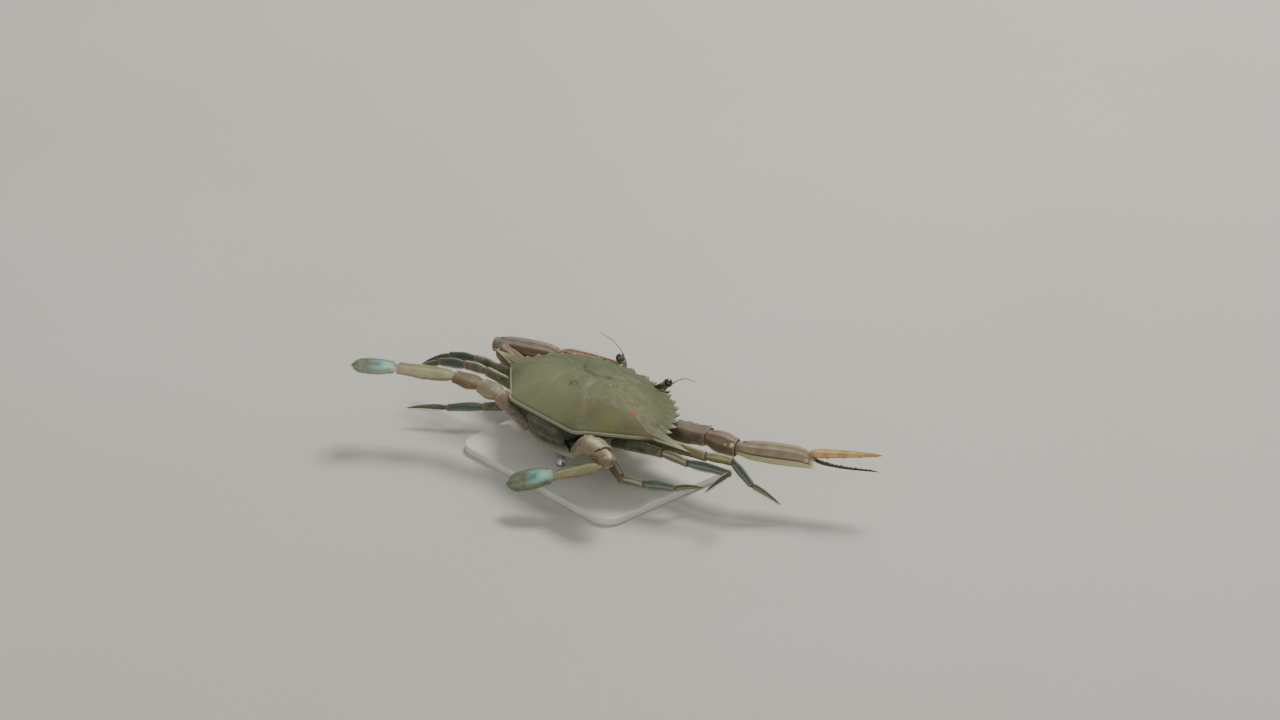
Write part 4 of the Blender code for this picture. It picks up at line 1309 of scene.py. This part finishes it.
def finish_merus(shape, axis, forward):
    """Three thorns along the front edge, one over the end, and the hinge's knobs."""
    for share, size in ((0.36, 0.8 * UNIT), (0.58, UNIT), (0.80, 1.1 * UNIT)):
        middle, half, half_thin = axis.at(share)
        root = middle + forward * half_thin * 0.8 + UP * half * 0.15
        shape.spike(root, forward + UP * 0.2, 0.070 * size, 0.018 * size, axis.way * 0.3, **THORN)
    middle, half, half_thin = axis.at(0.93)
    root = middle + UP * half * 0.7 - forward * half_thin * 0.5
    shape.spike(root, UP + axis.way, 0.03 * UNIT, 0.012 * UNIT, **THORN)
    add_pivots(shape, axis, 0.96, 0.15, 0.1)


def finish_carpus(shape, axis, forward):
    """A thorn behind and one in front, and the pale knob of the wrist."""
    middle, half, half_thin = axis.at(0.70)
    root = middle - forward * half_thin * 0.75 + UP * half * 0.4
    shape.spike(root, axis.way - forward + UP * 0.4, 0.050 * UNIT, 0.016 * UNIT, **THORN)
    root = middle + forward * half_thin * 0.75 + UP * half * 0.2
    shape.spike(root, axis.way + forward, 0.060 * UNIT, 0.018 * UNIT, **THORN)
    middle, half, half_thin = axis.at(0.95)
    root = middle + UP * half * 0.55 - forward * half_thin * 0.75
    shape.knob(root, UP - forward, 0.021 * UNIT, 0.012 * UNIT, pale=0.75, along=0.95)


def finish_palm(shape, axis):
    """A thorn over the heel, and the knobs that the moving finger turns on."""
    middle, half, _ = axis.at(0.05)
    shape.spike(middle + UP * half * 0.85, UP + axis.way * 1.8, 0.036 * UNIT, 0.013 * UNIT, pale=0.3)
    middle, half, half_thin = axis.at(HINGE_SHARE)
    for across in (-1, 1):
        root = middle + UP * half * 0.30 + axis.thin * across * half_thin * 0.92
        shape.knob(root, axis.thin * across, 0.019 * UNIT, 0.012 * UNIT, pale=0.7)


def claw(side, sign, body, materials):
    """A claw's arm, its palm with the fixed finger, and its moving finger."""
    name = f"claw_{side}"
    *arm, palm, dactyl = (Solid(f"{name}_{part}") for part in CLAW_LOOKS)
    joints = limb_joints([*arm, palm], body, 10)
    axes = [Axis(solid, joints[i], joints[i + 1], UP, 0.16) for i, solid in enumerate(arm)]
    tip = palm.farthest_from(joints[3])
    heel = palm.middle_of((palm.points - tip) @ unit_vector(tip - palm.middle), 10)
    axes.append(Axis(palm, heel, tip, UP, 0.03, tip=True))
    tip = dactyl.farthest_from(heel)
    root = dactyl.middle_of(-np.linalg.norm(dactyl.points - tip, axis=1), 10)
    axes.append(Axis(dactyl, root, tip, UP, 0.03, tip=True))
    for i, (part, look) in enumerate(CLAW_LOOKS.items()):
        axis, shape = axes[i], Shape()
        add_segment(shape, axis, bent_look(look, joints, i) if i < len(arm) else look)
        forward = unit_vector(np.cross(UP, axis.way)) * sign
        if part == "merus":
            finish_merus(shape, axis, forward)
        if part == "carpus":
            finish_carpus(shape, axis, forward)
        if part == "palm":
            finish_palm(shape, axis)
        shape.build(f"{name}_{part}_shell", materials[f"{side}_{part}"], "claw_shell", f"{name}_{part}")


# ---------------------------------------------------------------- bristles


class Coat:
    """Fine bristles in fringes, each one a thin curved spike with a patch of its own in the UV map."""

    PATCH = 0.003
    SPACING = 0.22 * MM
    RADIUS = 0.055 * MM

    def __init__(self, seed):
        self.random = np.random.default_rng(seed)
        self.points = []
        self.faces = []
        self.spots = []
        self.fringes = 0

    def fringe(self, axis, degrees, start, end, length, density, spread=None):
        """Bristles along one edge of a limb segment, from a share of its length to another."""
        count = int(axis.length * (end - start) / self.SPACING * density)
        for share in np.sort(self.random.uniform(start, end, count)):
            middle, half_b, half_t = axis.at(share)
            half_b *= spread(share) if spread else 1.0
            turn = math.radians(degrees + self.random.normal(0, 9))
            broad, thin = axis.broad * math.cos(turn), axis.thin * math.sin(turn) * half_t
            lean = axis.way * self.random.uniform(0.25, 0.75) + axis.thin * self.random.normal(0, 0.12)
            size = length * self.random.uniform(0.6, 1.0)
            way = unit_vector(broad + thin / half_b) * 0.8 + lean
            self.bristle(middle + (broad * half_b + thin) * 0.97, way, size, share)
        self.fringes += 1

    def row(self, route, way, length, density):
        """Bristles along a line of places, leaning one way."""
        last = len(route) - 1
        whole = np.linalg.norm(np.diff(route, axis=0), axis=1).sum()
        count = int(whole / self.SPACING * density)
        spots = np.sort(self.random.uniform(0, last, count))
        for root, spot in zip(along_table(route, spots), spots):
            lean = unit_vector(way) + self.random.normal(0, 0.16, 3)
            self.bristle(root, lean, length * self.random.uniform(0.6, 1.0), spot / last)
        self.fringes += 1

    def bristle(self, root, way, length, share):
        way = unit_vector(way)
        ring = circle(way, -turns(3), (0.3, 0.5, 0.81)) * self.RADIUS
        bend = np.cross(way, unit_vector(ring[0])) * length * 0.12
        first = len(self.points)
        for level in (0.0, 0.4, 0.75):
            centre = root + way * length * level + bend * level**2
            self.points += list(centre + ring * (1 - 0.75 * level))
        self.points.append(root + way * length + bend)
        self.faces.append((first + 2, first + 1, first))
        for near, far in ((0, 1), (1, 2), (2, 0), (3, 4), (4, 5), (5, 3)):
            self.faces.append((first + near, first + far, first + far + 3, first + near + 3))
        for near, far in ((6, 7), (7, 8), (8, 6)):
            self.faces.append((first + near, first + far, first + 9))
        angles = turns(10)
        patch = np.hstack([np.cos(angles), np.sin(angles)]) * self.PATCH / 2
        self.spots.append(patch + (share, (self.fringes + 0.5) / 12))

    def build(self, name, material):
        mesh = bpy.data.meshes.new(name)
        mesh.from_pydata([tuple(point) for point in self.points], [], self.faces)
        corners = np.zeros(len(mesh.loops), np.int32)
        mesh.loops.foreach_get("vertex_index", corners)
        spots = np.clip(np.concatenate(self.spots)[corners], 0, 1)
        mesh.uv_layers.new(name="OFBake").data.foreach_set("uv", spots.astype(np.float32).ravel())
        make_piece(name, mesh, material, "leg_shell")


def bristle_material():
    nodes = Nodes("bristle_tan")
    nodes.colour = nodes.mix(nodes.clouds(3 * MM, 3.0, 0.35, 0.65), srgb(150, 140, 106), srgb(96, 88, 66))
    return nodes.finish(nodes.noise(1 * MM), 0.02 * MM, 0.6)


# ---------------------------------------------------------------- stand

PLATE_CORNER = 10 * MM
PLATE_EDGE = 0.6 * MM
# A rod's outline: (share of its height, share of its greatest radius).
ROD_PROFILE = (
    (0.0, 0.96), (0.02, 1.0), (0.14, 1.0), (0.17, 0.96), (0.19, 0.80), (0.90, 0.80), (0.93, 0.96),
    (0.98, 1.0), (1.0, 0.97),
)


def build_stand_plate(material):
    """The base of the stand, with round corners and softened edges."""
    low, high = (np.array(corner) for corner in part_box("stand_base"))
    middle, half = (low + high) / 2, (high - low) / 2
    _, cosine, sine = oval(160, 2)
    inner = half[:2] - PLATE_CORNER
    lower = [(0.0, 2.2), (0.0, 1.0), (0.3, 0.3), (1.0, 0.0)]
    rings = [(up * PLATE_EDGE - half[2], inset) for up, inset in lower]
    rings += [(half[2] - up * PLATE_EDGE, inset) for up, inset in lower[::-1]]
    rows = []
    for height, inset in rings:
        radius = PLATE_CORNER - inset * PLATE_EDGE
        x = np.sign(cosine) * inner[0] + cosine * radius
        y = np.sign(sine) * inner[1] + sine * radius
        rows.append(np.column_stack([x, y, np.full(len(x), height)]) + middle)
    build_tube("stand_plate", rows, material, "stand_plate", "stand_base")


def build_rod(name, material):
    """A steel rod with a turned collar at its foot and a small rest under the shell."""
    low, high = (np.array(corner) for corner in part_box(name))
    foot = ((low[0] + high[0]) / 2, (low[1] + high[1]) / 2, low[2])
    angles = turns(40)
    ring = np.hstack([np.cos(angles), np.sin(angles), 0 * angles]) * (high[0] - low[0]) / 2
    rows = [foot + ring * size + UP * (high[2] - low[2]) * share for share, size in ROD_PROFILE]
    build_tube(f"{name}_turned", rows, material, "stand_rod", name)


def stand_paint():
    nodes = Nodes("stand_paint")
    nodes.colour = nodes.mix(nodes.clouds(20 * MM, 3.0, 0.3, 0.7), srgb(205, 203, 194), srgb(196, 193, 182))
    nodes.wash(nodes.clouds(0.8 * MM, 1.0, 0.68, 0.75, 0.25), srgb(160, 156, 146))
    return nodes.finish(nodes.noise(0.5 * MM, 2.0), 0.02 * MM, 0.5)


def steel():
    nodes = Nodes("stand_steel")
    turned = nodes.noise(0.5 * MM, 2.0, 0.5, (0.2, 0.2, 6.0))
    nodes.colour = nodes.mix(turned, srgb(150, 150, 150), srgb(190, 190, 188))
    return nodes.finish(turned, 0.01 * MM, 0.3, metallic=1.0)


# ---------------------------------------------------------------- light, floor and camera

FLOOR_REACH = 6.0
# Where the camera stands, the picture's width and centre in units, and the lens in millimetres.
AZIMUTH, ELEVATION = math.radians(48), math.radians(28)
PICTURE_WIDTH = 9.55
CENTRE_RIGHT, CENTRE_UP = 0.746, 0.410
LENS = 200.0
SENSOR = 36.0


def build_floor():
    mesh = bpy.data.meshes.new("floor")
    corners = [(x * FLOOR_REACH, y * FLOOR_REACH, 0) for x, y in ((-1, -1), (1, -1), (1, 1), (-1, 1))]
    mesh.from_pydata(corners, [], [(0, 1, 2, 3)])
    nodes = Nodes("floor_pale")
    nodes.colour = nodes.mix(nodes.clouds(0.4, 3.0, 0.3, 0.7), srgb(187, 185, 177), srgb(182, 180, 171))
    mesh.materials.append(nodes.finish(nodes.noise(0.01), 0.05 * MM, 0.8))
    floor = bpy.data.objects.new("floor", mesh)
    bpy.context.scene.collection.objects.link(floor)


def add_area_light(name, position, power, size, colour):
    light = bpy.data.lights.new(name, "AREA")
    light.shape = "DISK"
    light.energy = power
    light.size = size
    light.color = colour
    lamp = bpy.data.objects.new(name, light)
    lamp.location = position
    lamp.rotation_euler = (-Vector(position)).to_track_quat("-Z", "Y").to_euler()
    bpy.context.scene.collection.objects.link(lamp)


def build_lights():
    add_area_light("key", (-0.35, 0.85, 1.3), 22.0, 0.55, (1.0, 0.97, 0.90))
    add_area_light("fill", (1.3, -1.3, 0.9), 12.0, 1.2, (0.95, 0.98, 1.0))
    world = bpy.data.worlds.new("studio")
    world.use_nodes = True
    background = world.node_tree.nodes["Background"]
    background.inputs["Color"].default_value = (0.92, 0.93, 0.92, 1.0)
    background.inputs["Strength"].default_value = 0.55
    bpy.context.scene.world = world


def build_camera():
    right = Vector((math.cos(AZIMUTH), math.sin(AZIMUTH), 0))
    level = Vector((-math.sin(AZIMUTH), math.cos(AZIMUTH), 0)) * math.cos(ELEVATION)
    forward = level - Vector(UP) * math.sin(ELEVATION)
    up = right.cross(forward)
    centre = Vector(ORIGIN) + (right * CENTRE_RIGHT + up * CENTRE_UP) * UNIT
    data = bpy.data.cameras.new("camera")
    data.lens = LENS
    data.sensor_width = SENSOR
    data.clip_end = 50
    camera = bpy.data.objects.new("camera", data)
    turn = Matrix((right, up, -forward)).transposed().to_4x4()
    turn.translation = centre - forward * PICTURE_WIDTH * UNIT * LENS / SENSOR
    camera.matrix_world = turn
    bpy.context.scene.collection.objects.link(camera)
    bpy.context.scene.camera = camera


# ---------------------------------------------------------------- the whole crab


def leg_materials():
    looks = {
        "merus": (paint(126, 130, 98), CREAM, paint(128, 116, 84)),
        "carpus": (paint(126, 130, 98), CREAM, paint(132, 116, 80)),
        "propodus": (paint(82, 98, 92), paint(176, 196, 176), paint(116, 100, 76)),
        "dactyl": (paint(106, 98, 72), CREAM, paint(156, 88, 62)),
    }
    dark, under = paint(82, 88, 70), paint(176, 172, 142)
    return {
        part: shell_material(f"leg_{part}", top, dark, under, ridge, tip)
        for part, (top, ridge, tip) in looks.items()
    }


def strip_materials():
    """The first right leg's two root segments, whose upper face is a clear olive yellow and whose lower
    side has painted shade in dark red.
    """
    # Painted shade: the down-facing side is a dark red.
    yellow, dark, under = paint(172, 166, 116), paint(128, 124, 84), paint(110, 62, 52)
    return {
        part: shell_material(f"strip_{part}", yellow, dark, under, paint(220, 214, 160), tip)
        for part, tip in (("merus", yellow), ("carpus", paint(150, 140, 96)))
    }


def with_pink_face(nodes):
    """Rosy, with whitish streaks that run round the segment."""
    streaks = nodes.range(nodes.noise(1.6 * MM, 2.0, 0.4, (1.0, 1.0, 2.5)), 0.56, 0.72, 0.0, 0.4)
    nodes.wash(streaks, paint(196, 170, 150))


def with_orange_side(nodes):
    """Warmer towards the lower edge."""
    nodes.wash(nodes.range(nodes.value("low"), -0.2, 0.7, 0.0, 0.40), paint(142, 106, 70))


def with_rose_edge(nodes):
    nodes.wash(nodes.range(nodes.value("low"), 0.45, 0.85, 0.0, 0.5), paint(160, 134, 104))


def swimming_materials():
    under = paint(190, 182, 150)
    return {
        # The base's olive grey top is partly painted shade: darker than the pink it has, since it runs in
        # under the shield.
        "base": shell_material(
            "swim_base", paint(134, 120, 98), paint(108, 98, 80), under, paint(190, 168, 146),
            PINK, PINK, extra=with_pink_face,
        ),
        "merus": shell_material(
            "swim_merus", paint(148, 150, 114), paint(124, 126, 96), under, CREAM,
            paint(148, 130, 104), PINK, extra=with_orange_side,
        ),
        "carpus": shell_material(
            "swim_carpus", paint(132, 118, 82), paint(106, 94, 66), under, CREAM,
            paint(130, 112, 84), PINK, extra=with_orange_side,
        ),
        "propodus": shell_material(
            "swim_propodus", paint(150, 156, 106), paint(128, 134, 92), under, paint(180, 180, 132),
            paint(146, 130, 98), paint(148, 124, 98), extra=with_rose_edge,
        ),
        "paddle": paddle_material(),
    }


# How far the paddle's flash lies off its middle line.
FLASH_SHIFT = 0.15


def paddle_material():
    """Dark olive, with a turquoise flash down the middle of its root half."""
    nodes = Nodes("swim_paddle")
    nodes.colour = nodes.mix(nodes.clouds(3 * MM, 4.0, 0.35, 0.65), paint(124, 132, 98), paint(98, 106, 80))
    along = nodes.value("along")
    low = nodes.math("ABSOLUTE", nodes.math("ADD", nodes.value("low"), FLASH_SHIFT))

    def patch(root, root_full, tip, tip_full, edge, edge_full):
        """1 over a stretch of the blade's middle, fading to 0 at its root, tip and edges."""
        length = nodes.times(nodes.range(along, root, root_full), nodes.range(along, tip, tip_full))
        return nodes.times(length, nodes.range(low, edge, edge_full))

    nodes.wash(nodes.range(low, 0.75, 0.97, 0.0, 0.6), paint(84, 94, 72))
    mottle = nodes.range(nodes.noise(4 * MM, 3.0), 0.25, 0.5, 0.6, 1.0)
    nodes.wash(nodes.times(patch(0.03, 0.10, 0.66, 0.40, 0.86, 0.50), mottle), paint(118, 182, 166))
    nodes.wash(patch(0.08, 0.16, 0.40, 0.26, 0.60, 0.25), paint(188, 224, 194), 0.75)
    nodes.wash(patch(0.34, 0.42, 0.58, 0.48, 0.35, 0.15), paint(70, 120, 112), 0.7)
    nodes.wash(nodes.value("joint"), PINK, 0.6)
    height = nodes.math("ADD", nodes.noise(1.5 * MM, 4.0), nodes.grains(0.5 * MM))
    return nodes.finish(height, 0.045 * MM, 0.42)


def palm_extra(finger_outside, cutting_edge):
    """Ivory below a red line along the palm, and a finger with its own outside and inner edge."""

    def extra(nodes):
        low, along = nodes.value("low"), nodes.value("along")
        nodes.wash(nodes.range(along, 0.26, 0.50, 0.0, 0.35), paint(196, 162, 134))
        ivory = nodes.mix(nodes.noise(6 * MM), paint(228, 223, 172), paint(206, 201, 152))
        nodes.wash(nodes.range(low, 0.02, 0.12), ivory)
        line = nodes.times(nodes.range(low, -0.16, -0.05), nodes.range(low, 0.10, 0.02))
        nodes.wash(line, paint(120, 62, 54), 0.85)
        nodes.wash(nodes.range(along, 0.50, 0.56), finger_outside)
        inner = nodes.times(nodes.range(along, 0.50, 0.55), nodes.range(low, -0.72, -0.90))
        nodes.wash(inner, cutting_edge)

    return extra


def finger_extra(cutting_edge):
    """A darker inner edge with its teeth."""
    return lambda nodes: nodes.wash(nodes.range(nodes.value("low"), 0.55, 0.85, 0.0, 0.8), cutting_edge)


def heel_painted_highlight(inner):
    """A cold blue painted highlight where the palm's heel faces up, and an orange spot beside it, on the
    folded claw.
    """

    def extra(nodes):
        along = nodes.value("along")
        # Painted highlight: bluish on the heel's upward faces.
        painted_highlight = nodes.times(nodes.range(along, 0.16, 0.02), nodes.range(nodes.upwards(), 0.0, 0.8))
        nodes.wash(painted_highlight, paint(128, 138, 146), 0.6)
        spot = nodes.times(nodes.range(along, 0.16, 0.19), nodes.range(along, 0.25, 0.22))
        spot = nodes.times(spot, nodes.range(nodes.value("low"), -0.75, -0.45))
        nodes.wash(spot, paint(166, 122, 72), 0.45)
        inner(nodes)

    return extra


def claw_materials():
    brown, dark, under = paint(138, 131, 108), paint(112, 104, 88), paint(176, 168, 138)
    purple, deep_purple = paint(74, 56, 66), paint(60, 44, 54)
    carpus, carpus_ridge = paint(130, 108, 88), paint(174, 140, 112)
    arm = {
        "base": (brown, dark, under, CREAM, brown),
        "merus": (brown, dark, under, paint(168, 146, 120), paint(124, 104, 82), paint(134, 92, 74)),
        "carpus": (carpus, dark, under, carpus_ridge, paint(142, 108, 84), paint(134, 88, 72)),
    }
    materials = {}
    for side, _ in SIDES:
        for part, colours in arm.items():
            materials[f"{side}_{part}"] = shell_material(f"claw_{side}_{part}", *colours)
    materials["right_palm"] = shell_material(
        "claw_right_palm", paint(178, 168, 132), paint(150, 140, 112), under, paint(170, 142, 112),
        paint(150, 134, 110), paint(150, 120, 100), extra=palm_extra(srgb(248, 245, 216), purple),
    )
    materials["right_dactyl"] = shell_material(
        "claw_right_dactyl", paint(250, 204, 124), paint(208, 162, 108), paint(214, 184, 138),
        paint(236, 204, 150), paint(214, 140, 76), paint(200, 150, 120), 0.8,
        extra=finger_extra(paint(120, 76, 66)),
    )
    materials["left_palm"] = shell_material(
        "claw_left_palm", paint(156, 149, 126), paint(134, 127, 112), under, paint(152, 120, 94),
        paint(132, 110, 92), paint(150, 116, 100),
        extra=heel_painted_highlight(palm_extra(srgb(226, 218, 192), deep_purple)),
    )
    materials["left_dactyl"] = shell_material(
        "claw_left_dactyl", paint(178, 136, 96), paint(146, 112, 84), paint(190, 160, 122),
        paint(198, 150, 106), paint(188, 120, 78), paint(188, 146, 114), 0.8,
        extra=finger_extra(deep_purple),
    )
    return materials


def build_side(side, sign, seed, body, materials, mouth_coat):
    """One side of the crab: half the mouth and face, an eye, a feeler, a claw and four legs."""
    build_maxilliped(side, sign, materials["pale"], mouth_coat)
    build_face(side, sign, materials["cheek"], mouth_coat)
    build_eye(side, materials["stalk"], materials["globe"])
    build_antenna(side, sign, materials["feeler"])
    claw(side, sign, body, materials["claws"])
    coat = Coat(seed)
    for number in (1, 2, 3):
        is_strip = side == "right" and number == 1
        looks = materials["legs"] | (strip_materials() if is_strip else {})
        walking_leg(f"walking_leg_{number}_{side}", body, looks, coat)
    coat.build(f"walking_bristles_{side}", materials["bristles"])
    coat = Coat(seed + 1)
    swimming_leg(f"swimming_leg_{side}", body, materials["swimmers"], coat)
    coat.build(f"swimming_bristles_{side}", materials["bristles"])


def main():
    materials = {
        "pale": pale_material(),
        "legs": leg_materials(),
        "swimmers": swimming_materials(),
        "claws": claw_materials(),
        "stalk": shell_material("stalk", OLIVE, OLIVE_DARK, OLIVE_LIGHT, CREAM, OLIVE_DARK),
        "feeler": shell_material(
            "feeler", paint(128, 104, 76), paint(96, 80, 60), paint(150, 134, 100), CREAM,
            paint(150, 100, 70),
        ),
        "cheek": shell_material(
            "cheek", OLIVE, OLIVE_DARK, paint(178, 174, 146), CREAM, paint(188, 184, 156), tip_from=0.2
        ),
        "globe": eye_material(),
        "bristles": bristle_material(),
    }
    build_carapace(carapace_material())
    build_thorax(materials["pale"])
    flap_coat = Coat(5)
    build_abdomen(materials["pale"], flap_coat)
    flap_coat.build("abdomen_bristles", materials["bristles"])
    build_epistome(materials["pale"])
    body, mouth_coat = Solid("thorax"), Coat(3)
    for (side, sign), seed in zip(SIDES, (7, 9)):
        build_side(side, sign, seed, body, materials, mouth_coat)
    mouth_coat.build("mouth_bristles", materials["bristles"])
    build_stand_plate(stand_paint())
    rod_steel = steel()
    for name in ("stand_rod_front", "stand_rod_rear"):
        build_rod(name, rod_steel)
    build_floor()
    build_lights()
    build_camera()


main()
